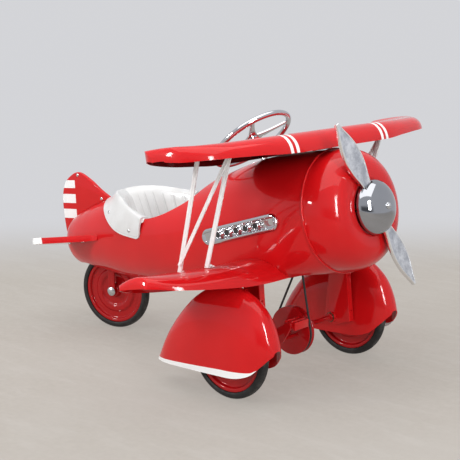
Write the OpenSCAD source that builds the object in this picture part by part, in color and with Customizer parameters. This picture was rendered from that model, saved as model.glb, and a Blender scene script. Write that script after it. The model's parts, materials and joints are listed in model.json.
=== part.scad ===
// Pedal biplane: a child's ride-on with a crank axle, a belt driven propeller and a steered tail wheel.
// X runs forward to the nose, Y to the left side and Z up, in millimetres, on level ground.
// The airframe modules work along the thrust line: first axis forward, second left, third up from it.

/* [Stance] */
// Nose-up angle of the airframe on its wheels
nose_up = 11.5; // [8:0.5:14]
// Height of the thrust line over the front axle
axis_height = 405; // [390:1:430]
// Front axle to tail wheel axle
wheelbase = 655; // [640:1:670]
// Centre of one front wheel to the centre of the other
track = 466; // [450:1:480]

/* [Wheels] */
// Diameter of the two front wheels
front_wheel_d = 230; // [220:1:236]
// Diameter of the tail wheel
tail_wheel_d = 220; // [210:1:226]
// Width of every tyre
tyre_w = 25; // [20:0.5:28]
// Depth of a tyre from tread to rim
tyre_depth = 16; // [12:0.5:20]
// Thickness of the pressed wheel discs
disc_wall = 3; // [2:0.5:4]
// Radius of the crank axle rods
axle_r = 6; // [5:0.25:7]
// Radial clearance of every turning fit
running_fit = 0.05; // [0.02:0.01:0.1]

/* [Fuselage] */
// Radius of the fuselage where it meets the cowl
nose_r = 146; // [138:1:150]
// Distance of the cowl joint ahead of the front axle, along the thrust line
joint_at = 147; // [140:1:155]
// Distance of the tail end behind the front axle, along the thrust line
tail_at = 862; // [855:1:870]
// Sheet thickness of the fuselage
skin = 2.5; // [2:0.25:3.5]
// Half width of the belly opening for the legs
belly_gap = 95; // [85:1:100]
// Half width of the belly opening round the tail wheel
tail_gap = 52; // [48:1:56]
// Length of the cowl ahead of the joint
cowl_len = 92; // [85:1:96]
// Gap between pieces that seat on each other
seat_gap = 0.3; // [0.2:0.05:0.5]

/* [Wings] */
// Tip to tip span of both wings
wing_span = 900; // [860:2:930]
// Fore and aft length of the upper wing at the middle
upper_chord = 236; // [220:1:240]
// Leading edge of the upper wing ahead of the front axle, along the thrust line
upper_front = 181; // [175:1:190]
// Height of the upper wing's lower rim over the nose's radius
wing_over = 4; // [4:0.5:10]
// Depth of the upper wing from rim to crest
upper_depth = 46; // [40:1:50]
// Fore and aft length of a lower wing at the root
lower_chord = 236; // [225:1:245]
// Leading edge of the lower wings ahead of the front axle, along the thrust line
lower_front = 44; // [38:1:50]
// Depth of the lower wings' rim below the thrust line
lower_rim = 139; // [134:1:142]
// Depth of a lower wing from rim to crest
lower_depth = 57; // [50:1:60]
// Sheet thickness of the wings
wing_wall = 2; // [1.5:0.25:2.5]

/* [Struts] */
// Distance of the struts from the middle of the plane
strut_y = 290; // [280:1:300]
// Width of the upright bars
strut_w = 12; // [10:0.5:14]
// Width of the slanted bars
slant_w = 9; // [7:0.5:11]
// Thickness of all the bars
strut_t = 3; // [2.5:0.25:4]

/* [Propeller] */
// Radius of the propeller at its tips
prop_r = 225; // [210:1:230]
// Widest part of a blade
blade_w = 56; // [50:1:60]
// Thickness of a blade
blade_t = 7; // [5:0.5:9]
// Turn of the blades about the thrust line as they stand
blade_turn = 117.5; // [90:0.5:140]
// Radius of the spinner
spinner_r = 65; // [60:1:68]
// Length of the spinner
spinner_len = 42; // [38:1:46]
// Radius of the propeller shaft
shaft_r = 8; // [7:0.5:9]

/* [Belt drive] */
// Diameter of the round belt
belt_d = 5.5; // [5:0.25:6]
// Radius of the belt's middle on the crank pulley
crank_pulley_r = 58; // [55:0.5:60]
// Radius of the belt's middle on the propeller pulley
prop_pulley_r = 46; // [42:0.5:48]
// Place of the propeller pulley along the thrust line
prop_pulley_at = 41; // [36:0.5:44]

/* [Pedals] */
// Crank throw from the axle to the pedal pin
throw = 53; // [48:0.5:56]
// Angle of the right crank above the horizontal as it stands
crank_angle = 37; // [20:1:60]
// Length of a pedal block
pedal_len = 52; // [46:0.5:54]
// Width of a pedal block
pedal_w = 34; // [30:0.5:38]
// Thickness of a pedal block
pedal_t = 20; // [18:0.5:24]
// Radius of the pedal pins
pin_r = 5; // [4.5:0.25:5.5]

/* [Steering] */
// Radius of the steering wheel to the middle of its rim
steer_r = 106; // [98:0.5:112]
// Radius of the rim's own section
steer_rim_r = 7; // [6:0.25:8]
// Slope of the column above the horizontal
column_slope = 48; // [42:0.5:50]
// Radius of the column
column_r = 8; // [7:0.5:9]
// Length of the arm at the foot of the column
steer_arm = 44; // [40:0.5:46]
// Turn of the tail wheel from straight ahead as it stands
tail_turn = 14; // [0:0.5:16]

/* [Pants and legs] */
// Width of a wheel pant
pant_w = 102; // [96:1:108]
// Sheet thickness of the pants
pant_wall = 2; // [1.5:0.25:2.5]
// Sheet thickness of the legs
leg_wall = 3; // [2.5:0.25:4]
// Distance of the legs inboard of the wheels' middle planes
leg_set = 73; // [70:1:77]

/* [Seat and tail] */
// Thickness of the moulded seat
seat_wall = 4; // [3:0.5:5]
// Pleats from one side of the seat to the other
pleats = 14; // [10:2:18]
// Thickness of the fin
fin_t = 10; // [8:0.5:12]
// Thickness of the stabilizers
stab_t = 14; // [12:0.5:16]
// Rise of the stabilizers from root to tip
stab_rise = 8; // [6:0.5:10]

/* [Hidden] */
$fn = 48;

red = [0.80, 0.05, 0.06];
dark_red = [0.55, 0.03, 0.04];
white = [0.95, 0.95, 0.94];
chrome = [0.80, 0.82, 0.85];
black = [0.06, 0.06, 0.06];
steel = [0.55, 0.56, 0.58];
bronze = [0.72, 0.53, 0.25];

front_r = front_wheel_d/2;
tail_r = tail_wheel_d/2;
right = -1;
left = 1;

// Fin outline from its front foot over the crown to its rear foot: place along and height over thrust line
fin_a = [[0, -655], [1, -695], [2, -734], [3, -780], [4, -824], [5, -851], [6, -868], [7, -874], [8, -874],
    [9, -872]];
fin_c = [[0, 104], [1, 133], [2, 166], [3, 192], [4, 182], [5, 161], [6, 123], [7, 70], [8, 26], [9, -12]];
fin_edge = [for (t = [0:0.25:9]) [curve(fin_a, t), 0, curve(fin_c, t)]];

// The part's origin lies under the middle of its length, from the propeller or spinner to the fin's rear edge
blade_width = [[40, 0.46], [60, 0.5], [78, 0.64], [96, 0.83], [114, 0.96], [132, 1], [150, 0.95], [168, 0.83],
    [185, 0.64], [203, 0.38], [217, 0.17], [225, 0.07]];
blade_steps = 14;
blade_from = 40;
blade_pitch = [-7, -3];
blade_sides = 12;
prop_clear = 12;
prop_at = joint_at + cowl_len + prop_clear;
spinner_back = prop_at - 8;
tip_at = spinner_back + spinner_len;
screw_head = 3;
blade_points = [for (i = [0:blade_steps]) for (p = blade_ring(blade_at(i))) for (k = [0, 180])
    turn_x(p, blade_turn - 90 + k) + [prop_at, 0, 0]];
front_x = max((tip_at + screw_head)*cos(nose_up), max([for (p = blade_points) to_ground(p)[0]]));
rear_x = min([for (p = fin_edge) to_ground(p)[0]]);
origin_x = (front_x + rear_x)/2;

// Curves, sheets and lofts shared by the pieces

function mix(a, b, t) = a + (b - a)*t;
function unit(v) = v/norm(v);
function turn_x(p, t) = [p[0], p[1]*cos(t) - p[2]*sin(t), p[1]*sin(t) + p[2]*cos(t)];
function signed_power(v, p) = sign(v)*pow(abs(v), p);

// Smooth curve through a list of [place, value] knots
function knot_slope(k, i) = let (a = max(i - 1, 0), b = min(i + 1, len(k) - 1))
    (k[b][1] - k[a][1])/(k[b][0] - k[a][0]);
function knot_span(k, x, i = 0) = (i >= len(k) - 2 || x <= k[i + 1][0]) ? i : knot_span(k, x, i + 1);
function curve(k, x) =
    let (i = knot_span(k, x), h = k[i + 1][0] - k[i][0], t = (x - k[i][0])/h)
    (2*t^3 - 3*t^2 + 1)*k[i][1] + (t^3 - 2*t^2 + t)*h*knot_slope(k, i)
    + (3*t^2 - 2*t^3)*k[i + 1][1] + (t^3 - t^2)*h*knot_slope(k, i + 1);

// Sheet of even thickness behind a grid of points; its outer side faces rows crossed with columns
function grid_normal(g, i, j) =
    let (r = len(g) - 1, c = len(g[0]) - 1)
    unit(cross(g[min(i + 1, r)][j] - g[max(i - 1, 0)][j], g[i][min(j + 1, c)] - g[i][max(j - 1, 0)]));
module sheet(g, wall) {
    rows = len(g);
    cols = len(g[0]);
    n = rows*cols;
    function at(i, j) = i*cols + j;
    outer = [for (r = g) each r];
    inner = [for (i = [0:rows - 1]) for (j = [0:cols - 1]) g[i][j] - wall*grid_normal(g, i, j)];
    front_faces = [for (i = [0:rows - 2]) for (j = [0:cols - 2])
        each [[at(i, j), at(i, j + 1), at(i + 1, j + 1)], [at(i, j), at(i + 1, j + 1), at(i + 1, j)]]];
    back_faces = [for (f = front_faces) [f[0] + n, f[2] + n, f[1] + n]];
    border = concat(
        [for (j = [0:cols - 1]) at(0, j)], [for (i = [1:rows - 1]) at(i, cols - 1)],
        [for (j = [cols - 2:-1:0]) at(rows - 1, j)], [for (i = [rows - 2:-1:1]) at(i, 0)]);
    m = len(border);
    edge_faces = [for (k = [0:m - 1]) let (a = border[k], b = border[(k + 1) % m])
        each [[b, a, a + n], [b, a + n, b + n]]];
    polyhedron(concat(outer, inner), concat(front_faces, back_faces, edge_faces), convexity = 8);
}

// Solid through rings that each turn right-handed about the way ahead, with flat ends or closed as a loop
module loft(rings, loop = false) {
    n = len(rings[0]);
    m = len(rings);
    side_faces = [for (i = [0:loop ? m - 1 : m - 2]) for (j = [0:n - 1])
        let (a = i*n + j, b = i*n + (j + 1) % n, c = ((i + 1) % m)*n + (j + 1) % n, d = ((i + 1) % m)*n + j)
        each [[a, d, c], [a, c, b]]];
    last = (m - 1)*n;
    caps = loop ? [] : [for (j = [1:n - 2]) each [[0, j, j + 1], [last, last + j + 1, last + j]]];
    polyhedron([for (r = rings) each r], concat(side_faces, caps), convexity = 8);
}
function ring(mid, way, up, r, sides) =
    let (n1 = unit(up - (up*way)*way), n2 = cross(way, n1))
    [for (j = [0:sides - 1]) let (t = 360*j/sides) mid + r*(cos(t)*n1 + sin(t)*n2)];

// Frames: stand() shifts the front axle's ground point, airframe() works along the thrust line

module stand() translate([-origin_x, 0, 0]) children();
module airframe() stand() translate([0, 0, axis_height]) rotate([0, -nose_up, 0]) children();
module on_side(side) if (side == right) children(); else mirror([0, 1, 0]) children();
module along_y(r, from, to) translate([0, to, 0]) rotate([90, 0, 0]) cylinder(r = r, h = to - from);
module along_axis(r, from, to) translate([from, 0, 0]) rotate([0, 90, 0]) cylinder(r = r, h = to - from);
module turned() rotate([0, 90, 0]) rotate_extrude() children();
module turned_y() rotate([90, 0, 0]) rotate_extrude() children();
module side_profile(width) rotate([90, 0, 0]) linear_extrude(width, center = true) children();
function to_air(p) = let (z = p[2] - axis_height)
    [p[0]*cos(nose_up) + z*sin(nose_up), p[1], z*cos(nose_up) - p[0]*sin(nose_up)];
function to_ground(p) =
    [p[0]*cos(nose_up) - p[2]*sin(nose_up), p[1], axis_height + p[0]*sin(nose_up) + p[2]*cos(nose_up)];

// Fuselage form

top_line = [[-tail_at, 40], [-830, 58], [-760, 82], [-650, 103], [-540, 107], [-420, 98],
    [-300, 106], [-170, nose_r - 19], [-60, nose_r + 1], [40, nose_r + 4], [joint_at, nose_r]];
belly_line = [[-tail_at, -46], [-790, -80], [-663, -107], [-569, -127], [-420, -140],
    [-300, -nose_r - 1], [-60, -nose_r - 6], [40, -nose_r - 5], [joint_at, -nose_r]];
side_line = [[-tail_at, 38], [-830, 48], [-760, 67], [-660, 86], [-540, 104], [-420, 119],
    [-300, 131], [-170, nose_r - 5], [-60, nose_r + 2], [40, nose_r + 3.5], [joint_at, nose_r]];
belly_power = [[-tail_at, 2.2], [-600, 2.6], [-300, 3.2], [30, 3.4], [100, 2.6], [joint_at, 2]];
gap_line = [[-tail_at, 3], [-810, 26], [-760, tail_gap - 4], [-700, tail_gap], [-560, tail_gap + 2],
    [-460, 72], [-330, belly_gap - 3], [-200, belly_gap], [60, belly_gap], [110, 66], [joint_at, 16]];
deck_power = 2.1;
tail_round = 56;
function tail_close(a) = let (q = max(0, (tail_round - tail_at - a)/tail_round)) sqrt(max(0.0004, 1 - q*q));
function mid_c(a) = (curve(top_line, a) + curve(belly_line, a))/2;
function top_h(a) = (curve(top_line, a) - mid_c(a))*tail_close(a);
function belly_h(a) = (mid_c(a) - curve(belly_line, a))*tail_close(a);
function side_h(a) = curve(side_line, a)*tail_close(a);
function power_at(a, upper) = upper ? mix(deck_power, 2, max(0, a/joint_at)) : curve(belly_power, a);
function body_point(a, angle, grow = 0) =
    let (upper = abs(angle) <= 90, e = 2/power_at(a, upper), h = (upper ? top_h(a) : belly_h(a)) + grow)
    [a, (side_h(a) + grow)*signed_power(sin(angle), e), mid_c(a) + h*signed_power(cos(angle), e)];
function body_side(a, c, grow = 0) =
    let (upper = c >= mid_c(a), n = power_at(a, upper), h = (upper ? top_h(a) : belly_h(a)) + grow)
    (side_h(a) + grow)*pow(max(0, 1 - pow(abs(c - mid_c(a))/h, n)), 1/n);
function body_top(a) = mid_c(a) + top_h(a);
function gap_angle(a) = asin(pow(min(0.9, curve(gap_line, a)/curve(side_line, a)), curve(belly_power, a)/2));
body_cols = 40;
body_rows = 24;
tail_steps = [88, 74, 60, 45, 28, 12];
body_stations = concat(
    [for (s = tail_steps) -tail_at + tail_round*(1 - sin(s))],
    [for (i = [0:body_rows]) mix(tail_round - tail_at, joint_at, i/body_rows)]);
cockpit_front = -176;
cockpit_back = -592;
cockpit_edge = [[cockpit_front, 260], [cockpit_front, 122], [-205, 103], [-240, 79], [-300, 58], [-362, 44],
    [-425, 40], [-480, 54], [-540, 82], [cockpit_back, 100], [cockpit_back, 260]];

// Steering column, from the middle of the steering wheel down to its foot
wheel_mid = to_air([-133.5, 0, 582.5]);
column_fall = column_slope + nose_up;
column_dir = [cos(column_fall), 0, -sin(column_fall)];
column_len = 172;
column_hole = 5;
module along_column(from) translate(wheel_mid + from*column_dir) rotate([0, 90 + column_fall, 0]) children();

module fuselage_shell() color(red) airframe() difference() {
    sheet([for (a = body_stations) [for (k = [0:body_cols])
        body_point(a, mix(gap_angle(a) - 180, 180 - gap_angle(a), k/body_cols))]], skin);
    side_profile(4*nose_r) polygon(cockpit_edge);
    along_column(30) cylinder(r = column_r + column_hole, h = 60);
}

// Nose

cowl_wall = 2.5;
lip_r = 84;
eye_r = 58;
cowl_power = 2.4;
cowl_steps = 14;
bead_w = 5;
cowl_back = joint_at + seat_gap;
cowl_front = cowl_back + cowl_len;
function cowl_curve(r, from, to) = [for (k = [0:cowl_steps]) let (t = 90*k/cowl_steps)
    [lip_r + (r - lip_r)*pow(cos(t), 2/cowl_power), from + (to - from)*pow(sin(t), 2/cowl_power)]];
cowl_inner = cowl_curve(nose_r - cowl_wall, cowl_back, cowl_front - cowl_wall);
module nose_cowl() color(red) airframe() turned() polygon(concat(
    [[nose_r - cowl_wall, cowl_back], [nose_r + 2, cowl_back], [nose_r + 2.8, cowl_back + 0.3*bead_w]],
    [[nose_r + 2.8, cowl_back + 0.7*bead_w], [nose_r + 2, cowl_back + bead_w]],
    cowl_curve(nose_r, cowl_back + bead_w, cowl_front),
    [[eye_r + 8, cowl_front - 3], [eye_r, cowl_front - 9], [eye_r, cowl_front - 11.5]],
    [[eye_r + 8, cowl_front - 3 - cowl_wall]],
    [for (k = [cowl_steps:-1:1]) cowl_inner[k]]));

bulkhead_t = 3;
bulkhead_at = joint_at - 9;
bulkhead_r = nose_r - skin - 3*seat_gap;
bush_r = shaft_r + 4;
bush_flange = 2;
bracket_at = 12;
bracket_t = 4;
bracket_h = 18;
bracket_y = prop_pulley_r + 14;
module nose_bulkhead() color(dark_red) airframe() difference() {
    along_axis(bulkhead_r, bulkhead_at, bulkhead_at + bulkhead_t);
    along_axis(bush_r + running_fit, bulkhead_at - 1, bulkhead_at + bulkhead_t + 1);
}
module shaft_bracket() color(black) airframe() difference() {
    union() {
        for (s = [-1, 1]) translate([bracket_at, s*bracket_y - bracket_t/2, -bracket_h/2])
            cube([bulkhead_at - bracket_at, bracket_t, bracket_h]);
        translate([bracket_at, -bracket_y, -bracket_h/2]) cube([bracket_t, 2*bracket_y, bracket_h]);
        along_axis(bush_r + 5, bracket_at - 8, bracket_at + bracket_t);
    }
    along_axis(bush_r + running_fit, bracket_at - 20, bracket_at + 20);
}
module shaft_bush(from, to, flange_at) difference() {
    union() {
        along_axis(bush_r, from, to);
        along_axis(bush_r + 5, flange_at, flange_at + bush_flange);
    }
    along_axis(shaft_r + running_fit, from - 5, to + 5);
}
module shaft_bushes() color(bronze) airframe() {
    shaft_bush(bulkhead_at - 6, bulkhead_at + bulkhead_t + bush_flange, bulkhead_at + bulkhead_t);
    shaft_bush(bracket_at - 8 - bush_flange, bracket_at + bracket_t, bracket_at - 8 - bush_flange);
}

// Legs and the beam between them

beam_drop = 115;
beam_z = axis_height - beam_drop;
beam_t = 3;
beam_x = [14, 86];
beam_window = [8, 50];
function beam_y(x) = body_side(to_air([x, 0, beam_z])[0], to_air([x, 0, beam_z])[2], -skin - 3*seat_gap);
module chassis_beam() color(dark_red) stand() translate([0, 0, beam_z]) linear_extrude(beam_t) difference() {
    polygon(concat([for (x = beam_x) [x, -beam_y(x)]], [for (x = [beam_x[1], beam_x[0]]) [x, beam_y(x)]]));
    translate([beam_x[0] + beam_window[0], -beam_window[1]])
        square([beam_x[1] - beam_x[0] - 2*beam_window[0], 2*beam_window[1]]);
}

boss_r = 14;
leg_y = track/2 - leg_set;
boss_in = leg_y - 6;
boss_out = (track - pant_w)/2 - seat_gap;
axle_bush_r = axle_r + 3;
leg_flange = 18;
leg_top = beam_z + beam_t;
leg_front = [[57, front_r - 3], [45, 240], [41, leg_top]];
leg_rear = [[0, leg_top], [-14, 200], [-22, front_r], [-14, front_r - 16], [10, front_r - 19]];
leg_hole_r = 2.5;
leg_tab = 3;
function tab_y(x) = let (p = to_air([x, 0, leg_top])) body_side(p[0], p[2]) + 2*seat_gap;
module leg_strip(p, q, w) translate([0, -leg_y, 0]) rotate([90, 0, 0]) linear_extrude(leg_flange)
    polygon([p, q, q + [w, 0], p + [w, 0]]);
module leg(side) color(red) stand() on_side(side) difference() {
    union() {
        translate([0, -leg_y, 0]) rotate([90, 0, 0]) linear_extrude(leg_wall)
            polygon(concat(leg_front, leg_rear));
        leg_strip(leg_front[0], leg_front[1], -leg_wall);
        leg_strip(leg_front[1], leg_front[2], -leg_wall);
        leg_strip(leg_rear[0], leg_rear[1], leg_wall);
        leg_strip(leg_rear[1], leg_rear[2], leg_wall);
        translate([0, 0, leg_top - leg_tab]) linear_extrude(leg_tab) polygon([[0, -leg_y - 1],
            [leg_front[2][0], -leg_y - 1], [leg_front[2][0], -tab_y(leg_front[2][0])], [0, -tab_y(0)]]);
        translate([0, 0, front_r]) along_y(boss_r, -boss_out, -boss_in);
    }
    translate([0, 0, front_r]) along_y(axle_bush_r + running_fit, -boss_out - 5, -boss_in + 20);
    for (z = [front_r + 24, 230]) translate([0, -leg_y - 0.6*leg_flange, z])
        along_axis(leg_hole_r, 35, 80);
}
module leg_right() leg(right);
module leg_left() leg(left);
module axle_bushes() color(bronze) stand() for (side = [right, left]) on_side(side)
    translate([0, 0, front_r]) difference() {
        union() {
            along_y(axle_bush_r, -boss_out, -boss_in + bush_flange);
            along_y(boss_r - 1, -boss_in, -boss_in + bush_flange);
        }
        along_y(axle_r + running_fit, -boss_out - 5, -boss_in + 20);
    }

// Wheel pants, each an outer and an inner half that meet over the wheel

pant_crown = [[-222, 63], [-205, 102], [-180, 145], [-140, 196], [-100, 234], [-50, 263], [0, 274], [50, 267],
    [100, 236], [128, 196], [146, 142]];
pant_edge = [[-222, 53], [-100, 62], [0, 67], [57, 71], [100, 86], [127, 112], [146, 134]];
pant_half = [[-222, 0.38], [-190, 0.66], [-150, 0.82], [-80, 0.96], [0, 1], [60, 0.98], [110, 0.8],
    [135, 0.5], [146, 0.24]];
pant_rows = 14;
pant_cols = 8;
pant_power = 2.3;
pant_seam = 0.75;
axle_room = 4;
function pant_point(x, t) = let (e = 2/pant_power, low = curve(pant_edge, x))
    [x, -curve(pant_half, x)*pant_w/2*pow(cos(t), e), low + (curve(pant_crown, x) - low)*pow(sin(t), e)];
function pant_grid(shift) = [for (i = [0:pant_rows]) [for (j = [0:pant_cols])
    pant_point(mix(pant_edge[0][0], pant_edge[6][0], i/pant_rows), 90*j/pant_cols) - [0, shift, 0]]];
module pant_outer(side) color(red) stand() on_side(side) translate([0, -track/2, 0])
    sheet(pant_grid(pant_seam), pant_wall);
module pant_inner(side) color(red) stand() on_side(side) translate([0, -track/2, 0]) difference() {
    mirror([0, 1, 0]) sheet(pant_grid(pant_seam), pant_wall);
    translate([0, 0, front_r]) along_y(axle_r + axle_room, 0, pant_w);
}
module pant_outer_right() pant_outer(right);
module pant_outer_left() pant_outer(left);
module pant_inner_right() pant_inner(right);
module pant_inner_left() pant_inner(left);

// Wings: each station along the span has its front, rear, rim and crest, and a section between them

half_span = wing_span/2;
nose_power = 2.2;
nose_steps = 8;
top_steps = 6;
fall_power = 1.7;
rear_lip = 14;
upper_rim = nose_r + wing_over;
upper_nose = 40;
lower_nose = 84;
upper_sweep = [[0, 0], [190, 0], [260, -7], [330, -17], [400, -32], [435, -47], [450, -60]];
upper_taper = [[0, 0], [250, 0], [350, 6], [410, 16], [440, 30], [450, 42]];
upper_lift = [[0, 0], [190, 0], [260, 5], [330, 10], [400, 17], [450, 25]];
lower_sweep = [[0, 0], [200, 0], [290, -18], [360, -44], [400, -64], [430, -88], [450, -118]];
lower_taper = [[0, 0], [300, 0], [400, 8], [440, 20], [450, 30]];
lower_lift = [[0, 0], [200, 2], [290, 11], [396, 28], [450, 42]];
lower_swell = [[0, 0], [300, 4], [400, 9], [450, 14]];
// A station is [front, rear, rim, crest, nose length] at a distance out, the span scaled to the knots
function span_place(y) = 450*abs(y)/half_span;
function upper_station(y) = let (v = span_place(y), f = upper_front + curve(upper_sweep, v),
    r = upper_front - upper_chord + curve(upper_taper, v), low = upper_rim + curve(upper_lift, v))
    [f, r, low, upper_rim + upper_depth - 3*v/450, min(upper_nose, 0.45*(f - r))];
function lower_station(y) = let (v = span_place(y), f = lower_front + curve(lower_sweep, v),
    r = lower_front - lower_chord + curve(lower_taper, v), low = -lower_rim + curve(lower_lift, v))
    [f, r, low, lower_depth - lower_rim + curve(lower_swell, v), min(lower_nose, 0.45*(f - r))];
function wing_section(s) = concat(
    [for (k = [0:nose_steps]) let (t = 90*k/nose_steps)
        [s[0] - s[4]*(1 - pow(cos(t), 2/nose_power)), s[2] + (s[3] - s[2])*pow(sin(t), 2/nose_power)]],
    [for (k = [1:top_steps]) [mix(s[0] - s[4], s[1], k/top_steps), wing_fall(s, k/top_steps)]],
    [[s[1], s[2]]]);
function wing_fall(s, q) = s[3] - max(4, s[3] - s[2] - rear_lip)*pow(q, fall_power);
function wing_top(s, a) = a < s[0] - s[4]
    ? wing_fall(s, (s[0] - s[4] - a)/(s[0] - s[4] - s[1]))
    : let (t = acos(pow(1 - (s[0] - a)/s[4], nose_power/2))) s[2] + (s[3] - s[2])*pow(sin(t), 2/nose_power);
function wing_slope(s, a) = atan2(wing_top(s, a + 1) - wing_top(s, a - 1), 2);
tip_out = 3;
tip_in = 0.97;
tip_rise = 0.06;
function tip_row(s, y) = let (mid = (s[0] + s[1])/2)
    [for (p = wing_section(s)) [mix(mid, p[0], tip_in), y, mix(s[2], p[1], tip_rise)]];
function wing_row(s, y) = [for (p = wing_section(s)) [p[0], y, p[1]]];
span_steps = 12;
function span_at(k) = (half_span - tip_out)*sin(90*k/span_steps);
module upper_wing() color(red) airframe() sheet(concat(
    [tip_row(upper_station(half_span), -half_span)],
    [for (k = [-span_steps:span_steps]) wing_row(upper_station(span_at(k)), span_at(k))],
    [tip_row(upper_station(half_span), half_span)]), wing_wall);

root_y = nose_r + 12;
root_gap = 6*seat_gap;
lower_steps = 10;
function lower_at(k) = mix(root_y, half_span - tip_out, sin(90*k/lower_steps));
function root_row(s) = [for (p = wing_section(s)) [p[0], -body_side(p[0], p[1]) - root_gap, p[1]]];
module lower_wing(side) color(red) airframe() on_side(side) sheet(concat(
    [tip_row(lower_station(half_span), -half_span)],
    [for (k = [lower_steps:-1:0]) wing_row(lower_station(lower_at(k)), -lower_at(k))],
    [root_row(lower_station(nose_r))]), wing_wall);
module lower_wing_right() lower_wing(right);
module lower_wing_left() lower_wing(left);

// Struts: two upright bars with bent feet and a slanted bar riveted between them

front_foot = -36;
rear_foot = -129;
front_head = 99;
rear_head = -9;
foot_len = 20;
rivet_r = 2;
rivet_head_r = 3.5;
rivet_in = 24;
bolt_r = 2.5;
bolt_head_r = 4.5;
bolt_head_h = 2.5;
rivet_play = 0.1;
upper_at_strut = upper_station(strut_y);
lower_at_strut = lower_station(strut_y);
strut_gap = 5*seat_gap;
function foot_point(a) = [a, strut_gap
    + max(wing_top(lower_at_strut, a), wing_top(lower_station(strut_y - foot_len), a))];
function head_point(a) = [a, -wing_wall - strut_gap
    + min(wing_top(upper_at_strut, a), wing_top(upper_station(strut_y - foot_len), a))];
function along(p, q, d) = p + unit(q - p)*d;
module bar(p, q, w) let (n = unit([p[1] - q[1], q[0] - p[0]])*w/2)
    polygon([p - n, p + n, q + n, q - n]);
module at_foot(a) translate([a, -strut_y, foot_point(a)[1]])
    rotate([0, -wing_slope(lower_at_strut, a), 0]) children();
module at_head(a) translate([a, -strut_y, head_point(a)[1]])
    rotate([0, -wing_slope(upper_at_strut, a), 0]) mirror([0, 0, 1]) children();
module tab() difference() {
    translate([-strut_w/2, 0, 0]) cube([strut_w, foot_len, strut_t]);
    translate([0, foot_len - strut_w/2, -1]) cylinder(r = bolt_r + rivet_play, h = strut_t + 2);
}
module in_layer(inboard) translate([0, inboard - strut_y, 0]) rotate([90, 0, 0]) children();
front_line = [along(foot_point(front_foot), head_point(front_head), strut_t),
    along(head_point(front_head), foot_point(front_foot), strut_t)];
rear_line = [along(foot_point(rear_foot), head_point(rear_head), strut_t),
    along(head_point(rear_head), foot_point(rear_foot), strut_t)];
low_rivet = along(rear_line[0], rear_line[1], rivet_in);
high_rivet = along(front_line[1], front_line[0], rivet_in);
module upright(side, line, foot, head, rivet) color(white) airframe() on_side(side) {
    difference() {
        in_layer(strut_t) linear_extrude(strut_t) bar(line[0], line[1], strut_w);
        in_layer(strut_t + 1) translate(rivet) cylinder(r = rivet_r + rivet_play, h = strut_t + 2);
    }
    at_foot(foot) tab();
    at_head(head) tab();
}
module front_strut_right() upright(right, front_line, front_foot, front_head, high_rivet);
module front_strut_left() upright(left, front_line, front_foot, front_head, high_rivet);
module rear_strut_right() upright(right, rear_line, rear_foot, rear_head, low_rivet);
module rear_strut_left() upright(left, rear_line, rear_foot, rear_head, low_rivet);
module diagonal_strut(side) color(white) airframe() on_side(side) in_layer(0) translate([0, 0, rivet_play])
    linear_extrude(strut_t) difference() {
        bar(along(low_rivet, high_rivet, -6), along(high_rivet, low_rivet, -6), slant_w);
        for (p = [low_rivet, high_rivet]) translate(p) circle(r = rivet_r + rivet_play);
    }
module diagonal_strut_right() diagonal_strut(right);
module diagonal_strut_left() diagonal_strut(left);
module rivet(grip) {
    cylinder(r = rivet_r, h = grip);
    for (z = [-1.5, grip]) translate([0, 0, z]) cylinder(r = rivet_head_r, h = 1.5);
}
module strut_rivets() color(white) airframe() for (side = [right, left]) on_side(side)
    for (p = [low_rivet, high_rivet]) in_layer(strut_t + rivet_play) translate(p)
        rivet(2*strut_t + 3*rivet_play);
module foot_bolt() translate([0, foot_len - strut_w/2, 0]) {
    translate([0, 0, seat_gap - strut_gap])
        cylinder(r = bolt_r, h = strut_t + rivet_play + strut_gap - seat_gap);
    translate([0, 0, strut_t + rivet_play]) cylinder(r = bolt_head_r, h = bolt_head_h);
}
module strut_bolts() color(white) airframe() for (side = [right, left]) on_side(side) {
    for (a = [front_foot, rear_foot]) at_foot(a) foot_bolt();
    for (a = [front_head, rear_head]) at_head(a) foot_bolt();
}

// Cabane brackets between the fuselage and the upper wing

cabane_w = 44;
cabane_len = 26;
cabane_t = 3;
module cabane(a) let (s = upper_station(0), low = body_top(a) + seat_gap,
    high = wing_top(s, a) - wing_wall - seat_gap) color(dark_red) airframe() {
        translate([a - cabane_len/2, -cabane_w/2, low + 1]) cube([cabane_len, cabane_w, cabane_t]);
        translate([a - cabane_t/2, -cabane_w/2, low + 1])
            cube([cabane_t, cabane_w, high - low - cabane_t - 1]);
        translate([a, 0, high]) rotate([0, -wing_slope(s, a), 0])
            translate([-cabane_len/2, -cabane_w/2, -cabane_t - 0.5]) cube([cabane_len, cabane_w, cabane_t]);
    }
module cabane_front() cabane(120);
module cabane_rear() cabane(-34);

// Exhaust trims: pressed covers on the fuselage sides with a row of ports

trim_mid = [-50, -10];
trim_len = 256;
trim_h = 42;
trim_rise = 5.5;
trim_wall = 1.6;
trim_rows = 18;
trim_relief = [[-1, 0], [-0.86, 5.5], [-0.6, 6], [-0.44, 3], [0, 2.6], [0.44, 3], [0.6, 6], [0.86, 5.5],
    [1, 0]];
port_count = 5;
port_step = 32;
port_r = 8;
port_h = 7;
function trim_end(q) = let (m = 1 - trim_h/trim_len, e = max(0, (abs(q) - m)/(1 - m)))
    sqrt(max(0.1, 1 - e*e));
function trim_place(q, t) = let (u = q*trim_len/2, v = t*trim_h/2)
    [trim_mid[0] + u*cos(trim_rise) - v*sin(trim_rise), trim_mid[1] + u*sin(trim_rise) + v*cos(trim_rise)];
function trim_point(q, k) = let (p = trim_place(q, k[0]*trim_end(q)), low = (1 - trim_end(q))*0.5)
    [p[0], -body_side(p[0], p[1]) - seat_gap - trim_wall/2 - k[1]*(1 - low), p[1]];
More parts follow.
